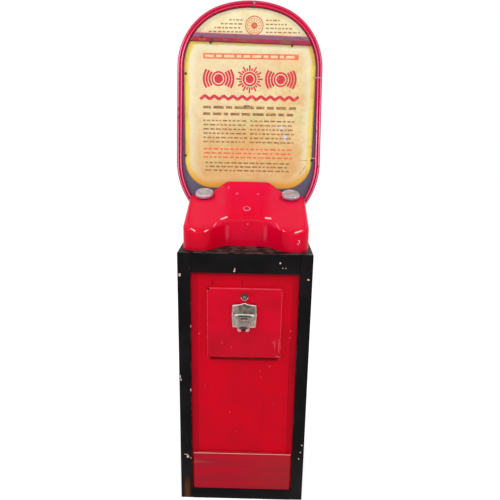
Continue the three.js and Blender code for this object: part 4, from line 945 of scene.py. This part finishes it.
# Hand knobs: thick nickel-plated discs on bent stems. The rim is rolled
# bright, the middle is dished a little and dulled by hands.
plated = clouded(
    "knob_nickel", 0.4, (60, 5), (196, 192, 204), (158, 152, 168), (0.35, 0.7), gloss=(0.26, 0.46),
    metallic=0.35,
)
plated.bump(plated.noise(420, 3, (1, 0.2, 1)), 0.00012, 0.5)
knob_profile = [
    (0, 13.3), (6.3, 13.3), (6.3, 5), (25.5, 5), (27.2, 5.4), (28.4, 6.6), (29, 8.2), (29, 13.8),
    (28.7, 15.2), (27.8, 16.4), (26.4, 16.95), (24.8, 17), (23.6, 16.7), (22.4, 16.1), (20.5, 16),
    (10, 16.3), (0, 16.6),
]
for side, stand in knob_stands.items():
    finished(put(turned(knob_profile, 72), stand), side + "_knob_plated", plated, "cradle", side + "_knob")

# Sign rail: a steel channel bent into an arch, its two ends butted at the
# bottom. A groove runs along its face between two rounded shoulders.
sign_middle_y, rail_half, joint_half = 0.0983, 0.009, 0.0015
lower_radius, lower_z = 0.227, cabinet_top + 0.2363
shoulder_radius, shoulder_x, shoulder_z = 0.185, 0.035, cabinet_top + 0.532
crown_rise = 0.191
crown_radius = (shoulder_x**2 + crown_rise**2 - shoulder_radius**2) / (2 * (crown_rise - shoulder_radius))
crown_z = shoulder_z + crown_rise - crown_radius
crown_turn = math.atan2(shoulder_z - crown_z, shoulder_x)
side_lean = math.atan2(shoulder_z - lower_z, shoulder_x) - math.acos(
    (lower_radius - shoulder_radius) / math.hypot(shoulder_x, shoulder_z - lower_z)
)
rail_profile = [
    (-11, 9), (5.5, 9), (8, 8.6), (9.6, 7.6), (10.6, 6.2), (11, 4.6), (10.8, 3), (10.2, 1.9), (8.8, 0.8),
    (8.5, 0), (8.8, -0.8), (10.2, -1.9), (10.8, -3), (11, -4.6), (10.6, -6.2), (9.6, -7.6), (8, -8.6),
    (5.5, -9), (-0.5, -9), (-0.5, -1), (-3.5, -1), (-3.5, -9), (-11, -9),
]
joint_turn = math.asin(joint_half / lower_radius)
outward = Vector((math.sin(joint_turn), 0, -math.cos(joint_turn)))
lower_hub = Vector((0, sign_middle_y, lower_z))
right_hub = Vector((shoulder_x, sign_middle_y, shoulder_z))
left_hub = Vector((-shoulder_x, sign_middle_y, shoulder_z))
rail_shape = bmesh.new()
section = ring_edges(rail_shape, [
    lower_hub + outward * (lower_radius + out / 1000) - Vector((0, ahead / 1000, 0))
    for ahead, out in rail_profile
])
lower_sweep = math.pi / 2 + side_lean - joint_turn
leaning = Vector((math.cos(side_lean), 0, math.sin(side_lean)))
side_run = right_hub + leaning * shoulder_radius - lower_hub - leaning * lower_radius


def carried_round(geometry, hub, turn, steps):
    made = bmesh.ops.spin(rail_shape, geom=geometry, cent=hub, axis=(0, -1, 0), angle=turn, steps=steps)
    return picked(made["geom_last"], bmesh.types.BMEdge)


def carried_straight(geometry, run):
    made = bmesh.ops.extrude_edge_only(rail_shape, edges=geometry)["geom"]
    corners = picked(made, bmesh.types.BMVert)
    bmesh.ops.translate(rail_shape, verts=corners, vec=run)
    return [edge for edge in picked(made, bmesh.types.BMEdge) if set(edge.verts) <= set(corners)]


section = carried_round(section, lower_hub, lower_sweep, 42)
section = carried_straight(section, side_run)
section = carried_round(section, right_hub, crown_turn - side_lean, 32)
section = carried_round(section, Vector((0, sign_middle_y, crown_z)), math.pi - 2 * crown_turn, 28)
section = carried_round(section, left_hub, crown_turn - side_lean, 32)
section = carried_straight(section, Vector((side_run.x, 0, -side_run.z)))
section = carried_round(section, lower_hub, lower_sweep, 42)
bmesh.ops.remove_doubles(rail_shape, verts=rail_shape.verts, dist=0.00001)
ends = [e for e in rail_shape.edges if len(e.link_faces) == 1]
bmesh.ops.holes_fill(rail_shape, edges=ends, sides=0)
bmesh.ops.recalc_face_normals(rail_shape, faces=rail_shape.faces)


def from_rail_middle(point):
    """How far outside the rail's middle line a point lies, seen from the front."""
    x = abs(point.x)
    if math.atan2(point.z - lower_z, x) < side_lean:
        return math.hypot(x, point.z - lower_z) - lower_radius
    turn = math.atan2(point.z - shoulder_z, x - shoulder_x)
    if turn < side_lean:
        return x * leaning.x + (point.z - lower_z) * leaning.z - lower_radius
    if turn < crown_turn:
        return math.hypot(x - shoulder_x, point.z - shoulder_z) - shoulder_radius
    return math.hypot(x, point.z - crown_z) - crown_radius


across_rail = rail_shape.loops.layers.float_color.new("across")
for face in rail_shape.faces:
    for loop in face.loops:
        share = 0.5 + 0.5 * from_rail_middle(loop.vert.co) / rail_half
        loop[across_rail] = (share, share, share, 1)

rail = Finish("sign_red", 0.3, shine=0.1)
rail_cloud = rail.noise(16, 5)
rail.tones(rail_cloud.fade(0.3, 0.75), (212, 8, 58), (190, 12, 66))
rail_share = rail.node("Attribute", {}, "Fac", attribute_name="across")
from_groove = abs(rail_share - 0.5)
# Painted shade: darker in the groove.
groove_shade = from_groove.fade(0.13, 0.05)
upright = rail.z.fade(1.5, 1.4)
rail.layer(groove_shade * 0.25, (136, 10, 62))
# Painted shade: darker along both rounded sides of the rail.
rail_side_shade = from_groove.fade(0.4, 0.47)
rail.layer(upright * 0.6, (192, 20, 84))
rail.layer(rail_side_shade * 0.85, (128, 12, 54))
# Painted highlight: pale streaks along the two shoulders, strongest low on the upright sides.
on_shoulder = from_groove.near(0.25, 0.055)
along_rail = rail.noise(9, 4, (1, 1, 0.5)).fade(0.36, 0.6).scaled(0.45, 1)
lower_part = upright.scaled(0.12, 0.95)
rail_shoulder_highlight = on_shoulder * (along_rail * lower_part)
rail.layer(rail_shoulder_highlight, (252, 196, 214))
scrapes = rail.noise(120, 5, (1, 1, 0.4)).fade(0.66, 0.7)
rail.layer(scrapes, (122, 60, 66))
rail.roughness(rail_cloud.scaled(0.22, 0.4))
rail.bump(rail.noise(60, 4), 0.0004, 0.3)
finished(rail_shape, "sign_rail", rail, "cabinet", "sign_frame")

# Sign sheet: the dull grey steel sheet that the printed panels lie on. It
# shows as a dark strip inside the rail and at the lower corners.
sheet = clouded("grey_sheet", 0.6, (14, 5), (62, 62, 86), (100, 94, 116), span=None)
sheet.bump(sheet.noise(200, 3), 0.0002, 0.3)
finished(merged_copy("sign_back_sheet"), "sign_sheet", sheet, "cabinet", "sign_back_sheet")

# Main panel: the card that most of the printing lies on. It has a yellow
# border, is tanned by age and scuffed on the right, with painted light making it paler near the top left.
print_front, card_top_z = 0.0975, 1.4655
lower_corner_x, lower_corner_z = 0.119, 1.089
upper_corner_round, lower_corner_round = 0.174, 0.09
card = Finish("tan_print", 0.5, shine=0.3)
across = abs(card.x)
up = card.z
upper_reach = card.length((across - shoulder_x).at_least(0), (up - shoulder_z).at_least(0))
lower_reach = card.length((across - lower_corner_x).at_least(0), (lower_corner_z - up).at_least(0))
reach = (upper_reach - (upper_corner_round - lower_corner_round)).at_least(lower_reach)
from_edge = (lower_corner_round - reach).at_most(card_top_z - up)
wavering = (card.noise(26, 6) - 0.5) * 0.02
from_border = from_edge + wavering
border = from_border.fade(0.02, 0.011)
card.tones(card.noise(8, 5).fade(0.3, 0.7), (230, 208, 154), (220, 186, 122))
stained = card.noise(26, 6).fade(0.46, 0.66)
card.layer(stained * 0.6, (212, 164, 98))
greenish = card.noise(19, 6, (1, 1, 0.8)).fade(0.5, 0.7)
card.layer(greenish * 0.6, (206, 204, 144))
grainy = card.noise(110, 6).fade(0.46, 0.62)
card.layer(grainy * 0.4, (206, 166, 112))
# Painted light: the card is paler towards the top left.
pale = (up - card.x * 0.8).fade(1.15, 1.5)
card.layer(pale * 0.5, (238, 226, 192))
lower_warm = up.fade(1.3, 1.08) * 0.4
card.layer(lower_warm, (218, 160, 92))
foxing = card.noise(260, 4).fade(0.62, 0.76)
card.layer(foxing * 0.5, (190, 140, 84))
border_tone = card.blend(stained, (234, 210, 92), (226, 184, 70))
card.layer(border, border_tone)
beside_border = from_border.band(0.012, 0.019, 0.02, 0.046)
card.layer(beside_border * 0.55, (230, 230, 196))
crease_start, crease_end = Vector((0.1695, print_front, 1.0475)), Vector((0.1882, print_front, 1.0742))
crease_marks = [(crease_start.lerp(crease_end, k / 6), (0.0013, 0.01, 0.003)) for k in range(7)]
crease_marks.append(((0.184, print_front, 1.0957), (0.014, 0.01, 0.0009)))
creased = card.spots(crease_marks, 0.7, 160)
card.layer(creased * 0.65, (112, 104, 84))
aged = up.fade(1.09, 1.01) * from_border.fade(0.055, 0.005)
card.layer(aged, (224, 160, 52))
scuff_marks = [(106.2, 1200.7, 10, 6), (118.3, 1167, 6, 13)]
scuffs = card.front_spots(scuff_marks, print_front, 0.01, 1.3, 110)
card.layer(scuffs * 0.75, (210, 214, 222))
blot = card.front_spots([(-7, 1262.5, 16, 6)], print_front, 0.01, 0.9, 120)
card.layer(blot * 0.8, (64, 52, 44))
# Painted shadow: the card darkens along its edge under the rail.
rail_shadow_on_card = from_edge.fade(0.006, 0)
card.layer(rail_shadow_on_card * 0.6, (120, 84, 60))
card.roughness(foxing.scaled(0.36, 0.6))
card.bump(card.noise(18, 4), 0.002, 0.2)
finished(merged_copy("sign_main_panel"), "sign_main_card", card, "cabinet", "sign_main_panel")

# Header panel: the smaller cream card above the crossbar, freckled by age.
# Its lower edge ends behind the bar.
cream = clouded("cream_print", 0.5, (16, 5), (234, 224, 184), (226, 206, 156), (0.3, 0.7), shine=0.3)
cream_spots = cream.noise(260, 4).fade(0.64, 0.76)
cream.layer(cream_spots * 0.6, (196, 150, 104))
cream.bump(cream.noise(18, 4), 0.002, 0.2)
finished(merged_copy("sign_header_panel"), "sign_header_card", cream, "cabinet", "sign_header_panel")

# Printing on both cards: a sunburst between two knobs with ripples, a ruled
# strip, and two columns of plain dashes in place of words.
ink_thickness = 0.00015
ink_y = print_front - ink_thickness / 2 + 0.00004


def ink(name, colour, faded, wear=0.5, slot="tan_print"):
    made = Finish(name, 0.55, slot=slot)
    worn = made.noise(150, 5).fade(wear, wear + 0.16)
    made.tones(worn * 0.55, colour, faded)
    made.bump(made.noise(18, 4), 0.002, 0.2)
    return made


def dash(shape, x, z, length, height, turn=0, ahead=0):
    """One flat printed bar, centred on x and z and turned in the card's plane."""
    matrix = Matrix.Translation((x, ink_y - ahead, z)) @ Matrix.Rotation(turn, 4, "Y")
    matrix = matrix @ Matrix.Diagonal((length, ink_thickness, height, 1))
    bmesh.ops.create_cube(shape, size=1, matrix=matrix)


def ring(shape, x, z, inner, outer, first=0, turn=math.tau, steps=40):
    """A printed ring or arc round x and z, from the angle first over turn."""
    low, high = ink_y - ink_thickness / 2, ink_y + ink_thickness / 2
    corners = [(inner, low), (outer, low), (outer, high), (inner, high)]
    ray = Vector((math.cos(first), 0, math.sin(first)))
    edges = ring_edges(shape, [Vector((x, 0, z)) + ray * reach + Vector((0, y, 0)) for reach, y in corners])
    made = bmesh.ops.spin(
        shape, geom=edges, cent=(x, 0, z), axis=(0, -1, 0), angle=turn, steps=steps,
        use_merge=turn == math.tau,
    )
    if turn != math.tau:
        for end in (edges, picked(made["geom_last"], bmesh.types.BMEdge)):
            bmesh.ops.contextual_create(shape, geom=end)


chance = random.Random(7)


def dash_row(shape, left, right, z, height, longest):
    """A row of dashes like a greeked line of words."""
    x = left
    while x < right:
        length = min(chance.uniform(0.35, 1) * longest, right - x)
        if length > height:
            dash(shape, x + length / 2, z, length, height)
        x += length + height * 0.9


red_ink = ink("red_ink", (200, 28, 54), (222, 110, 96), 0.54)
red_shape = bmesh.new()
burst_z, ripple_x, ray_start = 1.348, 0.099, 0.025
ring(red_shape, 0, burst_z, 0, 0.013)
ring(red_shape, 0, burst_z, 0.0165, 0.0225)
for k in range(24):
    angle = math.tau * k / 24
    reach = 0.034 if k % 2 else 0.042
    middle = (ray_start + reach) / 2
    x, z = middle * math.cos(angle), burst_z + middle * math.sin(angle)
    dash(red_shape, x, z, reach - ray_start, 0.0052, -angle)
for side in (-1, 1):
    hub_x = side * ripple_x
    ring(red_shape, hub_x, burst_z, 0, 0.014)
    ring(red_shape, hub_x, burst_z, 0.0175, 0.023)
    for k, reach in enumerate((0.029, 0.038, 0.047)):
        for middle in (0, math.pi):
            spread = math.radians(44 - 4 * k)
            ring(red_shape, hub_x, burst_z, reach - 0.0034, reach + 0.0034, middle - spread, 2 * spread, 14)
for k in range(21):
    x = -0.15 + 0.015 * k
    dash(red_shape, x, 1.2905, 0.0205, 0.0095, 0.62 if k % 2 else -0.62, 0.00008 * (k % 2))
bmesh.ops.recalc_face_normals(red_shape, faces=red_shape.faces)
finished(red_shape, "sign_red_printing", red_ink, "cabinet")

orange_ink = ink("orange_ink", (222, 104, 64), (236, 160, 110))
orange_shape = bmesh.new()
strip_z = 1.4158
dash(orange_shape, 0.003, strip_z, 0.301, 0.0165)
for row in range(3):
    dash_row(orange_shape, -0.148, 0.146, 1.128 - 0.0135 * row, 0.0056, 0.022)
finished(orange_shape, "sign_orange_printing", orange_ink, "cabinet")
pale_ink = ink("pale_ink", (240, 204, 160), (230, 150, 108), 0.5)
pale_shape = bmesh.new()
dash_row(pale_shape, -0.142, 0.148, strip_z, 0.0075, 0.034)
put(pale_shape, Matrix.Translation((0, -0.00012, 0)))
finished(pale_shape, "sign_pale_printing", pale_ink, "cabinet")

brown_ink = ink("brown_ink", (138, 96, 52), (196, 160, 104), 0.45)
brown_shape = bmesh.new()
for row in range(2):
    dash_row(brown_shape, -0.149, 0.151, 1.26 - 0.0205 * row, 0.0084, 0.036)
for row in range(6):
    for left in (-0.148, 0.004):
        dash_row(brown_shape, left, left + 0.143, 1.2185 - 0.0135 * row, 0.0048, 0.018)
for row in range(3):
    dash_row(brown_shape, -0.142, 0.136, 1.083 - 0.0125 * row, 0.005, 0.02)
finished(brown_shape, "sign_brown_printing", brown_ink, "cabinet")

header_ink = ink("header_ink", (206, 86, 52), (220, 140, 100), slot="cream_print")
header_shape = bmesh.new()
small_ink = ink("small_ink", (150, 112, 66), (200, 160, 110), 0.45, "cream_print")
small_shape = bmesh.new()
coin_x, coin_z, coin_reach = 0.012, 1.5065, 0.0155
for inner, outer in ((0.0255, 0.0285), (0.0205, 0.0222), (0, 0.01)):
    ring(header_shape, coin_x, coin_z, inner, outer)
for k in range(12):
    angle = math.tau * k / 12
    x, z = coin_x + coin_reach * math.cos(angle), coin_z + coin_reach * math.sin(angle)
    dash(header_shape, x, z, 0.006, 0.0022, -angle)
for row, left in enumerate((-0.066, -0.092, -0.112, -0.13)):
    z = 1.522 - 0.0115 * row
    dash_row(small_shape, left, -0.024, z, 0.0042, 0.013)
    dash_row(small_shape, 0.048, 0.024 - left, z, 0.0042, 0.013)
bmesh.ops.recalc_face_normals(header_shape, faces=header_shape.faces)
finished(header_shape, "sign_header_printing", header_ink, "cabinet")
finished(small_shape, "sign_small_printing", small_ink, "cabinet")

# Crossbar: a painted steel bar across the cards' seam, with painted shade
# along its upper half and two dark pegs below it. Small clips, a wire clip,
# studs and a rivet hold it and the cards to the rail.
crossbar_lean = math.tan(math.radians(1.3))
crossbar_low = 1.454
bar = Finish("crossbar_paint", 0.42, shine=0.3, slot="sign_red")
bar_waver = (bar.noise(60, 4, (0.3, 1, 1)) - 0.5) * 0.004
along_bar = bar.z + bar.x * crossbar_lean + bar_waver
upper_half_shade = along_bar.fade(crossbar_low + 0.0115, crossbar_low + 0.0145)
bar.tones(bar.noise(30, 4).fade(0.3, 0.7), (168, 22, 52), (146, 24, 50))
# Painted shade: grey-purple along the bar's upper half.
bar.layer(upper_half_shade, (128, 84, 108))
# Painted highlight: a pale pink line along the bar's top edge.
bar.layer(along_bar.fade(crossbar_low + 0.0225, crossbar_low + 0.0245), (206, 104, 118))
bar_dirt = bar.noise(48, 6, (0.6, 1, 1)).fade(0.5, 0.66)
bar.layer(bar_dirt * 0.75, (124, 76, 62))
# Painted shade: the bar darkens along its lower edge.
bar_lower_edge_shade = along_bar.fade(crossbar_low + 0.004, crossbar_low + 0.001)
bar.layer(bar_lower_edge_shade * 0.7, (108, 16, 32))
bar_patch = bar.front_spots([(-149, 1463.5, 11, 5.2)], 0.0873, 0.01, 0.6, 90)
bar.layer(bar_patch * 0.7, (204, 62, 34))
bar.bump(bar.noise(80, 4), 0.0005, 0.4)
dressed("sign_crossbar", "_painted", bar, "cabinet", 0.0018, 3)

dark_steel = clouded(
    "dark_steel", 0.5, (200, 4), (48, 36, 34), (98, 76, 66), span=None, metallic=0.7, slot="steel"
)
peg_profile = [(0, -8), (2.2, -7.6), (2.8, -6.2), (2.8, -2), (1.8, -1.2), (1.8, 4), (0, 4)]
for side, x, z in (("left", -0.1245, 1.4585), ("right", 0.1311, 1.453)):
    peg = put(turned(peg_profile, 20), Matrix.Translation((x, 0.0932, z)))
    finished(peg, side + "_crossbar_peg", dark_steel, "cabinet")
stud_profile = [(0, -2), (1.4, -2), (1.4, 0), (4.2, 0), (4, 1), (2.6, 1.8), (0, 2.1)]
stud_places = {
    "crossbar_left_rivet": (-0.152, 0.0893, 1.47), "upper_left_clip_stud": (-0.2034, 0.0975, 1.3616),
    "lower_left_clip_stud": (-0.2077, 0.0975, 1.1047), "lower_right_clip_stud": (0.2085, 0.0975, 1.0959),
    "arch_screw": (0.0089, 0.0886, 1.5598),
}
for name, spot in stud_places.items():
    finished(put(turned(stud_profile, 24), facing_front(*spot)), name, dark_steel, "cabinet")
clip_steel = clouded(
    "clip_steel", 0.55, (240, 4), (208, 160, 174), (150, 96, 112), span=None, relief=(0.0002, 0.4),
    metallic=0.2, slot="steel",
)
clip_bars = {
    "upper_right_clip_strip": ((0.202, 0.0863, 1.3535), (0.229, 0.0874, 1.3567), clip_steel),
    "lower_right_clip_strip": ((0.208, 0.0863, 1.1024), (0.223, 0.0874, 1.1054), clip_steel),
    "arch_clip_strip": ((0.008, 0.0863, 1.566), (0.013, 0.0874, 1.5712), clip_steel),
    "crossbar_left_clip": ((-0.1212, 0.0855, 1.4535), (-0.1172, 0.0872, 1.4665), dark_steel),
}
for name, (low, high, metal) in clip_bars.items():
    finished(bar_shape(low, high, 0.0005), name, metal, "cabinet")
wire_run = Vector((0.179, 0, 1.4655)) - Vector((0.1462, 0, 1.4768))
wire_turn = Matrix.Rotation(math.atan2(wire_run.x, wire_run.z), 4, "Y")
wire_clip = put(pin_shape(0.0008, wire_run.length, 12), wire_turn)
put(wire_clip, Matrix.Translation((0.1626, 0.0862, 1.47115)))
finished(wire_clip, "crossbar_wire_clip", clip_steel, "cabinet")

# Working parts: the steel and brass inside the cabinet and the casting, and
# the hinge and straps behind. Most are turned, folded or cut from flat bar,
# and the cradle stands on four coil springs.
steel = clouded(
    "steel", 0.36, (40, 5), (178, 180, 184), (140, 138, 136), (0.35, 0.7), gloss=(0.24, 0.5), metallic=1
)
steel.bump(steel.noise(600, 2), 0.0001, 0.4)
brass = clouded(
    "brass", 0.3, (70, 5), (206, 170, 96), (150, 116, 66), (0.35, 0.7), gloss=(0.22, 0.46), metallic=1
)
motor = clouded("motor_paint", 0.45, (240, 2), (54, 58, 62), (84, 88, 92), relief=(0.0006, 0.6))
working_parts = {
    "cabinet": (
        "back_hinge_fixed_leaf", "back_hinge_pin", "coin_door_hinge_pin", "coin_drop_tube", "mechanism_plate",
        "left_sign_strap", "right_sign_strap",
    ),
    "coin_door": ("coin_channel", "coin_chute"),
    "timer_lever": ("timer_lever",),
    "back_door": ("back_hinge_moving_leaf",),
    "cash_box": ("cash_box",),
    "cradle": ("cradle_plate", "left_stem", "right_stem"),
    "rotor": ("motor_shaft",),
}
for body, names in working_parts.items():
    for name in names:
        dressed(name, "_steel", steel, body, 0.0002, 1, 40)
for k in range(1, 5):
    node = f"cradle_spring_{k}"
    coil = finished(merged_copy(node), node + "_steel", steel, "cabinet", node)
    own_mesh(coil)
dressed("timer_case", "_brass", brass, "coin_door", 0.0008)
for name in ("left_eccentric", "right_eccentric"):
    dressed(name, "_brass", brass, "rotor", 0.0006)
dressed("motor_case", "_painted", motor, "cradle", 0.0012)
